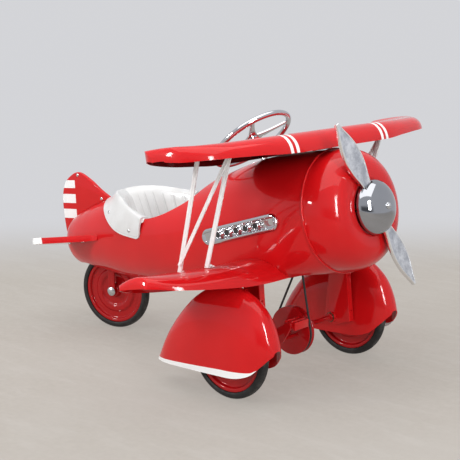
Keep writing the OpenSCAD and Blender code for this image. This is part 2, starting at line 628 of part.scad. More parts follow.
module exhaust_trim(side) color(chrome) airframe() on_side(side) {
    difference() {
        union() {
            sheet([for (i = [-trim_rows/2:trim_rows/2])
                [for (k = trim_relief) trim_point(sin(180*i/trim_rows), k)]], trim_wall);
            for (i = [0:port_count - 1]) port(i) along_y(port_r, -port_h, 0);
        }
        for (i = [0:port_count - 1]) port(i) along_y(port_r - 2.5, -port_h - 1, 3);
    }
}
module port(i) let (p = trim_place(2*(i - (port_count - 1)/2)*port_step/trim_len, 0))
    translate([p[0], -body_side(p[0], p[1]) - 2*seat_gap - trim_wall, p[1]]) children();
module exhaust_trim_right() exhaust_trim(right);
module exhaust_trim_left() exhaust_trim(left);

// Seat: an apron over the fuselage, a rolled rim and a pleated wall down to a floor.
// The place round the seat runs from one front end over the rear, which is zero, to the other front end.

seat_edge_a = [[0, -655], [0.35, -612], [0.65, -545], [1, -437]];
seat_edge_turn = [[0, 0], [0.35, 48], [0.65, 77], [1, 87]];
seat_rim_a = [[0, -600], [0.35, -575], [0.65, -512], [1, -422]];
seat_rim_turn = [[0, 0], [0.35, 24], [0.65, 40], [1, 56]];
seat_rim_up = [[0, 10], [0.35, 15], [0.65, 18], [1, 15]];
seat_in_a = [[0, -579], [0.35, -556], [0.65, -503], [1, -414]];
seat_in_y = [[0, 0], [0.35, 44], [0.65, 71], [1, 91]];
seat_in_c = [[0, 104], [0.35, 101], [0.65, 83], [1, 54]];
seat_floor_a = [[0, -537], [0.35, -520], [0.65, -470], [1, -396]];
seat_floor_y = [[0, 0], [0.35, 44], [0.65, 65], [1, 71]];
seat_floor_c = -50;
seat_mid = [-450, 0];
pleat_depth = 4;
pleat_steps = 4;
wall_steps = 4;
apron_steps = 3;
apron_lift = seat_wall + 2*seat_gap;
seat_places = [for (k = [0:pleats*pleat_steps]) 2*k/(pleats*pleat_steps) - 1];
function apron_point(s, t) = let (v = abs(s))
    body_point(mix(curve(seat_edge_a, v), curve(seat_rim_a, v), t),
        sign(s)*mix(curve(seat_edge_turn, v), curve(seat_rim_turn, v), t),
        mix(apron_lift, curve(seat_rim_up, v) + seat_wall, t*t));
function seat_inner(s) = let (v = abs(s))
    [curve(seat_in_a, v), sign(s)*curve(seat_in_y, v), curve(seat_in_c, v)];
function seat_base(s) = let (v = abs(s))
    [curve(seat_floor_a, v), sign(s)*curve(seat_floor_y, v), seat_floor_c];
function pleat(s) = pleat_depth*abs(sin(90*pleats*(s + 1)));
function wall_point(s, t) = let (p = mix(seat_inner(s), seat_base(s), t),
    d = unit([seat_mid[0] - p[0], seat_mid[1] - p[1], 0])) p + d*pleat(s)*min(1, 6*t)*min(1, 2*(1 - t));
function rim_roll(s) = mix(apron_point(s, 1), seat_inner(s), 0.55) + [0, 0, 3];
seat_rows = concat(
    [for (i = [0:apron_steps]) [for (s = seat_places) apron_point(s, i/apron_steps)]],
    [[for (s = seat_places) rim_roll(s)]],
    [for (i = [0:wall_steps]) [for (s = seat_places) wall_point(s, i/wall_steps)]]);
seat_floor_edge = [for (s = [-1:0.125:1]) let (p = seat_base(s)) [p[0] - 2, p[1]]];
module seat() color(white) airframe() {
    sheet(seat_rows, seat_wall);
    translate([0, 0, seat_floor_c - seat_wall]) linear_extrude(seat_wall + 1.5) polygon(seat_floor_edge);
}
screw_places = [[0.46, 0.30], [0.86, 0.22]];
seat_screw_r = 4.5;
module seat_screws() color(steel) airframe() for (side = [right, left]) for (k = screw_places)
    let (p = apron_point(side*k[0], k[1]), d = apron_point(side*k[0], k[1] + 0.01) - p,
         e = apron_point(side*(k[0] + 0.01), k[1]) - p, n = unit(cross(d, e)*side))
    translate(p + n*seat_gap) rotate([0, acos(n[2]), atan2(n[1], n[0])]) {
        cylinder(r = seat_screw_r, h = 1.2);
        translate([0, 0, 1.2]) cylinder(r1 = seat_screw_r, r2 = 0.5*seat_screw_r, h = 1.3);
    }

// Tail fin and stabilizers

fin_seat = 0.8;
fin_bolt_at = [[-783, 184], [-694, 106]];
fin_bolt_r = 3;
fin_foot = concat([[-tail_at - fin_seat, mid_c(-tail_at) - 4]],
    [for (a = body_stations) if (a < fin_a[0][1] - 2) [a, body_top(a) + fin_seat]]);
module tail_fin() color(red) airframe() difference() {
    side_profile(fin_t) polygon(concat([for (p = fin_edge) [p[0], p[2]]], fin_foot));
    for (p = fin_bolt_at) translate([p[0], 0, p[1]]) along_y(fin_bolt_r + rivet_play, -fin_t, fin_t);
}
module fin_bolts() color(steel) airframe() for (p = fin_bolt_at) translate([p[0], 0, p[1]]) {
    along_y(fin_bolt_r, -fin_t/2 - rivet_play, fin_t/2 + rivet_play);
    for (y = [-fin_t/2 - rivet_play - 2, fin_t/2 + rivet_play]) along_y(fin_bolt_r + 2, y, y + 2);
}

stab_root = [-640, -805];
stab_hinge = 70;
stab_lead = [[-664, -96], [-690, -122], [-722, -160], [-744, -186]];
stab_tip = [[-754, -200], [-766, -207], [-780, -206], [-790, -196]];
stab_bolt_a = [-700, -780];
stab_bolt_in = 12;
function stab_y(a) = max([for (c = [-stab_t, 0, stab_t]) body_side(a, c)]) + 4*seat_gap;
stab_edge = concat([for (k = [0:8]) let (a = mix(stab_root[1], stab_root[0], k/8)) [a, -stab_y(a)]],
    stab_lead, stab_tip);
module at_stab() translate([0, -stab_hinge, 0]) rotate([-stab_rise, 0, 0])
    translate([0, stab_hinge, -stab_t/2]) children();
module stabilizer(side) color(red) airframe() on_side(side) at_stab() difference() {
    linear_extrude(stab_t) polygon(stab_edge);
    for (a = stab_bolt_a) translate([a, -stab_y(a) - stab_bolt_in, -1])
        cylinder(r = bolt_r + rivet_play, h = stab_t + 2);
}
module stabilizer_right() stabilizer(right);
module stabilizer_left() stabilizer(left);
module stabilizer_bolts() color(steel) airframe() for (side = [right, left]) on_side(side) at_stab()
    for (a = stab_bolt_a) translate([a, -stab_y(a) - stab_bolt_in, 0]) {
        translate([0, 0, -rivet_play]) cylinder(r = bolt_r, h = stab_t + 2*rivet_play);
        for (z = [-rivet_play - bolt_head_h, stab_t + rivet_play]) translate([0, 0, z])
            cylinder(r = bolt_head_r, h = bolt_head_h);
    }

// Steering: wheel, column, the link and the steered fork. The wheels stand turned as the plane stands.

sleeve_r = column_r + 5;
sleeve_at = [120, 160];
hanger_w = 30;
hanger_t = 5;
sleeve_mid = wheel_mid + (sleeve_at[0] + sleeve_at[1])/2*column_dir;
hanger_top = body_top(sleeve_mid[0]) - skin - 6*seat_gap;
module column_bracket() color(black) airframe() difference() {
    union() {
        along_column(sleeve_at[0]) cylinder(r = sleeve_r, h = sleeve_at[1] - sleeve_at[0]);
        translate([sleeve_mid[0] - hanger_w/2, -hanger_t/2, sleeve_mid[2]])
            cube([hanger_w, hanger_t, hanger_top - sleeve_mid[2]]);
        translate([sleeve_mid[0] - hanger_w/2, -hanger_w/2, hanger_top - hanger_t])
            cube([hanger_w, hanger_w, hanger_t - 1]);
    }
    along_column(sleeve_at[0] - 5) cylinder(r = column_r + running_fit, h = sleeve_at[1] - sleeve_at[0] + 10);
    along_column(0) cylinder(r = sleeve_r + 1, h = sleeve_at[0]);
}

steer_hub_r = 18;
steer_hub = [-8, 16];
spoke_root_w = 17;
spoke_w = 11;
spoke_t = 5;
spoke_in = 3;
spoke_from = steer_hub_r - 5;
spoke_to = steer_r - steer_rim_r + spoke_in;
spoke_turns = [113, 206, 299];
module steering_wheel() color(chrome) airframe() along_column(0) rotate([0, 0, tail_turn]) {
    rotate_extrude() translate([steer_r, 0]) circle(r = steer_rim_r);
    difference() {
        union() {
            translate([0, 0, steer_hub[0]]) cylinder(r = steer_hub_r, h = steer_hub[1] - steer_hub[0]);
            for (t = spoke_turns) rotate([0, 0, t]) translate([0, 0, -spoke_t/2]) linear_extrude(spoke_t)
                polygon([[spoke_from, -spoke_root_w/2], [spoke_to, -spoke_w/2],
                    [spoke_to, spoke_w/2], [spoke_from, spoke_root_w/2]]);
        }
        cylinder(r = column_r + running_fit, h = steer_hub[1] + 1);
    }
}
arm_t = 5;
arm_w = 14;
joint_pin_r = 4;
link_eye_r = 9;
link_eye_t = 6;
link_gap = 0.8;
module steering_column() color(steel) airframe() {
    along_column(running_fit) cylinder(r = column_r, h = column_len);
    along_column(sleeve_at[0] - 6) cylinder(r = sleeve_r, h = 5.5);
    along_column(column_len - arm_t) rotate([0, 0, tail_turn]) {
        translate([-arm_w/2, 0, 0]) cube([arm_w, steer_arm, arm_t]);
        cylinder(r = sleeve_r, h = arm_t);
        translate([0, steer_arm, 0]) cylinder(r = arm_w/2, h = arm_t);
        translate([0, steer_arm, 0]) cylinder(r = joint_pin_r, h = arm_t + link_eye_t + 2*link_gap + 2);
        translate([0, steer_arm, arm_t + link_eye_t + 2*link_gap]) cylinder(r = joint_pin_r + 2.5, h = 3);
    }
}
// Tail arm as long as the fore and aft share of the column's arm, so the link stays parallel to itself
tail_arm = steer_arm*sin(column_slope);
crown_gap = 8;
crown_t = 6;
crown_z = tail_wheel_d + crown_gap;
crown_top = crown_z + crown_t;
steer_limit = 20;
link_rise = steer_arm*cos(column_slope)*(sin(steer_limit) - sin(tail_turn));
link_drop = steer_arm*cos(column_slope)*(sin(steer_limit) + sin(tail_turn));
rear_eye_t = 5;
rear_eye_z = crown_top + 1.5 + link_drop + rear_eye_t/2;
slot_half = 3;
slot_play = 0.3;
rear_eye_r = 8.5;
arm_side = [0, cos(tail_turn), 0] + sin(tail_turn)*[sin(column_slope), 0, cos(column_slope)];
column_down = [cos(column_slope), 0, -sin(column_slope)];
front_eye = to_ground(wheel_mid) + (column_len + link_gap + link_eye_t/2)*column_down + steer_arm*arm_side;
tail_pin = [-wheelbase + tail_arm*sin(tail_turn), -tail_arm*cos(tail_turn), rear_eye_z];
link_r = 3;
arm_ahead = [sin(column_slope), 0, cos(column_slope)];
link_way = [front_eye + 4.6*([0, 1, 0] - arm_ahead) + 0.6*column_down, [-44, 72, 428], [-110, 98, 336],
    [-250, 96, 264], [-400, 92, 240], [-520, 76, 226], [-590, 26, 236], tail_pin + [18, 12, -2],
    tail_pin + [6, 1, 0]];
link_steps = 4;
function way_knots(axis) = [for (i = [0:len(link_way) - 1]) [i, link_way[i][axis]]];
function way_at(t) = [curve(way_knots(0), t), curve(way_knots(1), t), curve(way_knots(2), t)];
link_points = [for (k = [0:link_steps*(len(link_way) - 1)]) way_at(k/link_steps)];
function way_ahead(p, i) = unit(p[min(i + 1, len(p) - 1)] - p[max(i - 1, 0)]);
module drag_link() color(steel) stand() difference() {
    union() {
        loft([for (i = [0:len(link_points) - 1])
            ring(link_points[i], way_ahead(link_points, i), [0, 0, 1], link_r, 8)]);
        translate(front_eye) rotate([0, 90 + column_slope, 0])
            cylinder(r = link_eye_r, h = link_eye_t, center = true);
        translate(tail_pin) {
            for (y = [-slot_half, slot_half]) translate([0, y, 0])
                cylinder(r = rear_eye_r, h = rear_eye_t, center = true);
            cube([2*rear_eye_r, 2*slot_half, rear_eye_t], center = true);
        }
    }
    translate(front_eye) rotate([0, 90 + column_slope, 0])
        cylinder(r = joint_pin_r + running_fit, h = 4*link_eye_t, center = true);
    translate(tail_pin) {
        for (y = [-slot_half, slot_half]) translate([0, y, 0])
            cylinder(r = joint_pin_r + slot_play, h = 4*rear_eye_t, center = true);
        cube([2*(joint_pin_r + slot_play), 2*slot_half, 4*rear_eye_t], center = true);
    }
}

// Tail wheel's fork and its bracket in the fuselage

fork_in = 20;
fork_t = 4;
fork_w = 22;
stem_r = 8;
tube_r = stem_r + 5;
tail_plate_z = crown_top + 40;
tail_plate_t = 4;
tail_plate_x = [-wheelbase - 35, -wheelbase + 35];
tube_top = tail_plate_z + 24;
module at_tail() stand() translate([-wheelbase, 0, 0]) rotate([0, 0, tail_turn]) children();
function plate_y(x) = let (p = to_air([x, 0, tail_plate_z]), q = to_air([x, 0, tail_plate_z + tail_plate_t]))
    min(body_side(p[0], p[2], -skin), body_side(q[0], q[2], -skin)) - 2*seat_gap;
module tail_bracket() color(dark_red) stand() difference() {
    union() {
        translate([0, 0, tail_plate_z]) linear_extrude(tail_plate_t) polygon(concat(
            [for (x = tail_plate_x) [x, -plate_y(x)]],
            [for (x = [tail_plate_x[1], tail_plate_x[0]]) [x, plate_y(x)]]));
        translate([-wheelbase, 0, crown_top + 0.5]) cylinder(r = tube_r, h = tube_top - crown_top - 0.5);
    }
    translate([-wheelbase, 0, 0]) cylinder(r = stem_r + running_fit, h = 2*tube_top);
}
module tail_fork() color(dark_red) at_tail() difference() {
    union() {
        translate([-fork_w/2, -fork_in - fork_t, crown_z]) cube([fork_w, 2*(fork_in + fork_t), crown_t]);
        for (y = [-fork_in - fork_t/2, fork_in + fork_t/2]) translate([0, y, 0]) {
            translate([0, 0, tail_r]) along_y(fork_w/2, -fork_t/2, fork_t/2);
            translate([-fork_w/2, -fork_t/2, tail_r]) cube([fork_w, fork_t, crown_top - tail_r]);
        }
        translate([-arm_w/2, -tail_arm, crown_z]) cube([arm_w, tail_arm, crown_t]);
        translate([0, -tail_arm, crown_z]) cylinder(r = arm_w/2, h = crown_t);
        translate([0, -tail_arm, crown_z])
            cylinder(r = joint_pin_r, h = rear_eye_z + link_rise + 5 - crown_z);
        translate([0, 0, crown_z]) cylinder(r = stem_r, h = tube_top + 4 - crown_z);
        translate([0, 0, tube_top + 0.5]) cylinder(r = stem_r + 4, h = 5);
    }
    translate([0, 0, tail_r]) along_y(axle_r + running_fit, -track, track);
}
cap_r = 13;
cap_h = 5;
module axle_cap() {
    cylinder(r = cap_r, h = 1.5);
    translate([0, 0, 1.5]) cylinder(r1 = cap_r, r2 = 0.55*cap_r, h = cap_h - 1.5);
}
module tail_axle() color(steel) at_tail() translate([0, 0, tail_r]) {
    along_y(axle_r, -fork_in - fork_t - 0.2, fork_in + fork_t + 0.2);
    for (s = [-1, 1]) rotate([s*90, 0, 0]) translate([0, 0, fork_in + fork_t + 0.2]) axle_cap();
}

// Wheels: a pressed disc with rings and a hub, and a solid tyre

hub_r = 17;
hub_half = 15;
rim_half = 9;
ring_out = 5;
function disc_profile(r, bore) = let (seat = r - tyre_depth - seat_gap, h = disc_wall/2)
    concat(disc_half(seat, bore, h), [for (k = [len(disc_half(seat, bore, h)) - 1:-1:0])
        let (p = disc_half(seat, bore, h)[k]) [p[0], -p[1]]]);
function disc_half(seat, bore, h) = [[bore, hub_half], [hub_r, hub_half], [hub_r + 4, h + 1], [seat - 52, h],
    [seat - 46, h + ring_out], [seat - 34, h + ring_out], [seat - 28, h], [seat - 12, h],
    [seat - 9, rim_half], [seat, rim_half]];
module wheel_disc(r, bore) turned_y() polygon(disc_profile(r, bore));
tyre_steps = 10;
module tyre(r) turned_y() polygon(concat(
    [[r - tyre_depth, -tyre_w/2 + 1.5]],
    [for (k = [-tyre_steps/2:tyre_steps/2]) let (t = 90*k/(tyre_steps/2))
        [r - tyre_depth + 3 + (tyre_depth - 3)*pow(cos(t), 0.75), tyre_w/2*signed_power(sin(t), 0.75)]],
    [[r - tyre_depth, tyre_w/2 - 1.5]]));
module at_wheel(side) stand() translate([0, side*track/2, front_r]) children();
module wheel_disc_right() color(dark_red) at_wheel(right) wheel_disc(front_r, axle_r + running_fit);
module wheel_disc_left() color(dark_red) at_wheel(left) wheel_disc(front_r, axle_r + running_fit);
module tyre_right() color(black) at_wheel(right) tyre(front_r);
module tyre_left() color(black) at_wheel(left) tyre(front_r);
module tail_wheel_disc() color(dark_red) at_tail() translate([0, 0, tail_r])
    wheel_disc(tail_r, axle_r + running_fit);
module tail_tyre() color(black) at_tail() translate([0, 0, tail_r]) tyre(tail_r);

// Crank axle with its pulley and pedals

arm_in = pedal_len + 14;
crank_t = 6;
pulley_half = 10;
pulley_rim = 3;
groove_clear = 0.8;
belt_r = belt_d/2;
axle_end = track/2 + hub_half + 9;
tie_at = [20, -6];
tie_r = 5;
pin_at = throw*[cos(crank_angle), sin(crank_angle)];
collar_in = boss_in - bush_flange - 6.5;
module crank(side) color(dark_red) stand() translate([0, 0, front_r])
    rotate([0, side == right ? 0 : 180, 0]) on_side(side) {
        along_y(axle_r, -axle_end, -arm_in - 1);
        along_y(axle_r + 5, -collar_in - 6, -collar_in);
        translate([0, -arm_in, 0]) rotate([90, 0, 0]) linear_extrude(crank_t) hull($fn = 32) {
            circle(r = 13);
            translate(pin_at) circle(r = pin_r + 5);
            translate(tie_at) circle(r = tie_r + 4);
        }
        translate([pin_at[0], 0, pin_at[1]]) along_y(pin_r, -arm_in - 1, -pulley_half - 0.2);
        translate([tie_at[0], 0, tie_at[1]]) along_y(tie_r, -arm_in - 1, -pulley_half - 0.2);
    }
module crank_right() crank(right);
module crank_left() crank(left);
pulley_r = crank_pulley_r + pulley_rim;
pulley_root = crank_pulley_r - belt_r - groove_clear;
pulley_eye = 4;
pulley_side = [[pulley_eye, pulley_half], [pulley_r, pulley_half], [pulley_r, pulley_half - 2],
    [pulley_root, 1.5]];
module crank_pulley() color(dark_red) stand() translate([0, 0, front_r]) turned_y() polygon(concat(
    pulley_side, [for (k = [3:-1:0]) [pulley_side[k][0], -pulley_side[k][1]]]));
module hub_nuts() color(steel) stand() translate([0, 0, front_r]) for (s = [-1, 1])
    rotate([s*90, 0, 0]) translate([0, 0, track/2 + hub_half + 0.3]) difference() {
        union() {
            cylinder(r = 11, h = 6, $fn = 6);
            translate([0, 0, 6]) cylinder(r1 = 9, r2 = 6, h = 6);
        }
        translate([0, 0, -1]) cylinder(r = axle_r + running_fit, h = axle_end - track/2 - hub_half + 1);
    }

flute_r = 4;
pedal_mid = (arm_in + pulley_half)/2;
module pedal(side) color(red) stand() translate([0, 0, front_r])
    rotate([0, side == right ? 0 : 180, 0]) on_side(side) translate([pin_at[0], -pedal_mid, pin_at[1]])
    difference() {
        cube([pedal_w, pedal_len, pedal_t], center = true);
        along_y(pin_r + running_fit, -pedal_len, pedal_len);
        for (x = [-0.25, 0.25]) for (z = [-1, 1]) translate([x*pedal_w, 0, z*(pedal_t/2 + 1)])
            along_y(flute_r, -pedal_len, pedal_len);
    }
module pedal_right() pedal(right);
module pedal_left() pedal(left);

// Belt: round the crank pulley, and over the propeller pulley, which stands square to it

belt_rear = 159.5;
belt_front = 361.5;
belt_low = 8.6;
wrap_steps = 22;
strand_steps = 7;
function crank_side(t) = [crank_pulley_r*cos(t), 0, front_r + crank_pulley_r*sin(t)];
function prop_side(t) = to_ground([prop_pulley_at, prop_pulley_r*cos(t), prop_pulley_r*sin(t)]);
thrust_dir = [cos(nose_up), 0, sin(nose_up)];
function strand(p, q, up_p, up_q) = [for (k = [1:strand_steps - 1]) let (t = k/strand_steps)
    [mix(p, q, t), mix(up_p, up_q, t)]];
belt_way = concat(
    [for (k = [0:wrap_steps]) [crank_side(mix(belt_rear, belt_front, k/wrap_steps)), [0, 1, 0]]],
    strand(crank_side(belt_front), prop_side(180 + belt_low), [0, 1, 0], thrust_dir),
    [for (k = [0:wrap_steps]) [prop_side(mix(180 + belt_low, -belt_low, k/wrap_steps)), thrust_dir]],
    strand(prop_side(-belt_low), crank_side(belt_rear), thrust_dir, [0, 1, 0]));
belt_n = len(belt_way);
module drive_belt() color(black) stand() loft([for (i = [0:belt_n - 1])
    ring(belt_way[i][0], unit(belt_way[(i + 1) % belt_n][0] - belt_way[(i + belt_n - 1) % belt_n][0]),
        belt_way[i][1], belt_r, 8)], loop = true);

// Propeller, its shaft and its pulley

prop_hub_t = 8;
prop_hub_r = spinner_r - 8;
shaft_back = bracket_at - 8 - bush_flange - 3;
shaft_front = prop_at + 12;
screw_r = 3;
screw_deep = 14;
module prop_shaft() color(steel) airframe() difference() {
    union() {
        along_axis(shaft_r, shaft_back, shaft_front);
        along_axis(shaft_r + 4, shaft_back, shaft_back + 2.6);
    }
    along_axis(screw_r + running_fit, shaft_front - screw_deep, shaft_front + 1);
}
prop_root = prop_pulley_r - belt_r - groove_clear;
module prop_pulley() color(dark_red) airframe() translate([prop_pulley_at, 0, 0]) difference() {
    turned() polygon([[0, -14], [prop_pulley_r + 0.2, -14], [prop_root, -2], [prop_root, 2],
        [prop_pulley_r + 2, 9], [prop_pulley_r + 2, 12], [0, 12]]);
    along_axis(shaft_r + running_fit, -20, 20);
}
function blade_at(i) = mix(blade_from, prop_r, sin(90*i/blade_steps));
function blade_ring(r) = let (w = blade_w*curve(blade_width, 225*r/prop_r)/2,
    p = mix(blade_pitch[0], blade_pitch[1], r/prop_r))
    [for (j = [0:blade_sides - 1])
        let (t = 360*j/blade_sides, u = w*cos(t), v = -blade_t/2*sin(t)*min(1, w/8))
        [v*cos(p) - u*sin(p), u*cos(p) + v*sin(p), r]];
module propeller() color(chrome) airframe() translate([prop_at, 0, 0]) difference() {
    union() {
        along_axis(prop_hub_r, -prop_hub_t/2, prop_hub_t/2);
        for (k = [0, 180]) rotate([blade_turn - 90 + k, 0, 0])
            loft([for (i = [0:blade_steps]) blade_ring(blade_at(i))]);
    }
    along_axis(shaft_r + running_fit, -30, 30);
}
spinner_wall = 2;
slot_w = blade_w*curve(blade_width, spinner_r) + 3;
dome_steps = 12;
dome_power = 2.1;
function dome(r, len) = [for (k = [0:dome_steps]) let (t = 90*k/dome_steps)
    [r*pow(cos(t), 2/dome_power), len*pow(sin(t), 2/dome_power)]];
spinner_boss = shaft_front - spinner_back;
spinner_inner = dome(spinner_r - spinner_wall, spinner_len - spinner_wall);
module spinner() color(chrome) airframe() translate([spinner_back, 0, 0]) difference() {
    union() {
        turned() polygon(concat(dome(spinner_r, spinner_len),
            [for (k = [dome_steps:-1:0]) spinner_inner[k]]));
        along_axis(shaft_r + 2, spinner_boss, spinner_len - spinner_wall);
    }
    along_axis(screw_r + running_fit, 0, 2*spinner_len);
    rotate([blade_turn - 90, 0, 0]) translate([-1, -slot_w/2, -2*spinner_r])
        cube([2*(prop_at - spinner_back) + 3, slot_w, 4*spinner_r]);
}
module spinner_screw() color(steel) airframe() {
    along_axis(screw_r, shaft_front - screw_deep + 1, tip_at + 0.1);
    along_axis(screw_r + 4, tip_at + 0.1, tip_at + screw_head);
}

fuselage_shell();
nose_cowl();
nose_bulkhead();
shaft_bracket();
shaft_bushes();
chassis_beam();
leg_right();
leg_left();
axle_bushes();
pant_outer_right();
pant_outer_left();
pant_inner_right();
pant_inner_left();
upper_wing();
lower_wing_right();
lower_wing_left();
front_strut_right();
front_strut_left();
rear_strut_right();
rear_strut_left();
diagonal_strut_right();
diagonal_strut_left();
strut_rivets();
strut_bolts();
cabane_front();
cabane_rear();
exhaust_trim_right();
exhaust_trim_left();
seat();
seat_screws();
tail_fin();
fin_bolts();
stabilizer_right();
stabilizer_left();
stabilizer_bolts();
column_bracket();
tail_bracket();
drive_belt();
crank_right();
crank_left();
crank_pulley();
wheel_disc_right();
tyre_right();
hub_nuts();
wheel_disc_left();
tyre_left();
pedal_right();
pedal_left();
prop_shaft();
prop_pulley();
propeller();
spinner();
spinner_screw();
steering_wheel();
steering_column();
drag_link();
tail_fork();
tail_wheel_disc();
tail_tyre();
tail_axle();
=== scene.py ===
import json
import math

import bmesh
import bpy
import numpy as np
from mathutils import Matrix, Vector


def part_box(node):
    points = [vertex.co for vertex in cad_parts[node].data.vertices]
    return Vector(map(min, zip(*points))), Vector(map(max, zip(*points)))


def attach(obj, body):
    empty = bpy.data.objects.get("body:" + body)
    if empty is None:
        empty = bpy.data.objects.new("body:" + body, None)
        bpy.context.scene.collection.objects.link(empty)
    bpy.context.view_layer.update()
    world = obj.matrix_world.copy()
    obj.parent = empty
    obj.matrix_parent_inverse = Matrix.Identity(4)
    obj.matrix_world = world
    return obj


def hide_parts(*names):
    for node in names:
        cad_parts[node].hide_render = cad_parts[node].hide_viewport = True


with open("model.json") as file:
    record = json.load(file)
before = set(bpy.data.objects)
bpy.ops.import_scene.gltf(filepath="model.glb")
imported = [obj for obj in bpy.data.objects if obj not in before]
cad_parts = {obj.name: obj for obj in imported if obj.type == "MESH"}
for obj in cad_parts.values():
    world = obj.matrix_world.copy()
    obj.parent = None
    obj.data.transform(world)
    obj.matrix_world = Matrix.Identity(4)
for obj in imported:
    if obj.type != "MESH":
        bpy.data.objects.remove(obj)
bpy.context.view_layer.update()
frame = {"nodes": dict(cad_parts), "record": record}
record = frame["record"]
BODY = {node: body for body, nodes in record["behaviour"]["bodies"].items() for node in nodes}
SLOT = {row["node"]: row["material_slot"] for row in record["subparts"]}
RIGHT, LEFT = -1, 1

# Sizes in millimetres, as the solids have them

NOSE_UP = math.radians(11.5)
AXIS_HEIGHT = 405
FRONT_R = 115
TAIL_R = 110
TRACK = 466
WHEELBASE = 655
NOSE_R = 146
JOINT_AT = 147
TAIL_AT = 862
SKIN = 2.5
HALF_SPAN = 450
PROP_AT = 251
PROP_R = 225
BLADE_TURN = 117.5
TAIL_TURN = math.radians(14)
COLUMN_SLOPE = math.radians(48)

low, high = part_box("tyre_right")
AXLE_X = 1000*(low.x + high.x)/2


# Places: the ground frame starts under the front axle, the air frame runs along the thrust line

def turned(p, q, angle):
    """A pair of coordinates turned by an angle in radians."""
    return p*np.cos(angle) - q*np.sin(angle), p*np.sin(angle) + q*np.cos(angle)


def from_ground(points):
    return (np.asarray(points, float) + np.array([AXLE_X, 0, 0]))/1000


def from_air(points):
    a, y, c = np.moveaxis(np.asarray(points, float), -1, 0)
    x, z = turned(a, c, NOSE_UP)
    return from_ground(np.stack([x, y, AXIS_HEIGHT + z], -1))


def mirrored(points):
    return np.asarray(points, float)*np.array([1, -1, 1])


def on_side(points, side):
    return points if side == RIGHT else mirrored(points)


def sided(name, side):
    return name + ("_right" if side == RIGHT else "_left")


def curve(knots, x):
    k = np.asarray(knots, float)
    x = np.asarray(x, float)
    last = len(k) - 1
    before = np.maximum(np.arange(last + 1) - 1, 0)
    after = np.minimum(np.arange(last + 1) + 1, last)
    slope = (k[after, 1] - k[before, 1])/(k[after, 0] - k[before, 0])
    i = np.clip(np.searchsorted(k[:, 0], x, side="left") - 1, 0, last - 1)
    h = k[i + 1, 0] - k[i, 0]
    t = (x - k[i, 0])/h
    return ((2*t**3 - 3*t**2 + 1)*k[i, 1] + (t**3 - 2*t**2 + t)*h*slope[i]
            + (3*t**2 - 2*t**3)*k[i + 1, 1] + (t**3 - t**2)*h*slope[i + 1])


def through(points, count):
    """A smooth line through rows of points, as count rows."""
    points = np.asarray(points, float)
    places = np.linspace(0, len(points) - 1, count)
    flat = points.reshape(len(points), -1)
    knots = np.arange(len(points))
    rows = np.stack([curve(np.stack([knots, flat[:, k]], 1), places) for k in range(flat.shape[1])], 1)
    return rows.reshape((count,) + points.shape[1:])


def mix(a, b, t):
    return a + (b - a)*t


def signed_power(v, p):
    return np.sign(v)*np.abs(v)**p


def quarter(count, power=2):
    """A quarter round of that power, from (1, 0) to (0, 1), as two rows."""
    t = np.radians(np.linspace(0, 90, count))
    return np.cos(t)**(2/power), np.sin(t)**(2/power)


# Shader expressions: a Wire is a socket that takes part in arithmetic, a Finish is a material being made

def operator(operation, swapped=False):
    """A method that puts a math node after its wire."""
    def method(self, *others):
        values = others + (self,) if swapped else (self,) + others
        return self.finish.maths(operation, *values)
    return method


class Wire:
    def __init__(self, finish, socket):
        self.finish = finish
        self.socket = socket

    __add__ = operator("ADD")
    __radd__ = operator("ADD", swapped=True)
    __sub__ = operator("SUBTRACT")
    __rsub__ = operator("SUBTRACT", swapped=True)
    __mul__ = operator("MULTIPLY")
    __rmul__ = operator("MULTIPLY", swapped=True)
    __abs__ = operator("ABSOLUTE")
    largest = operator("MAXIMUM")


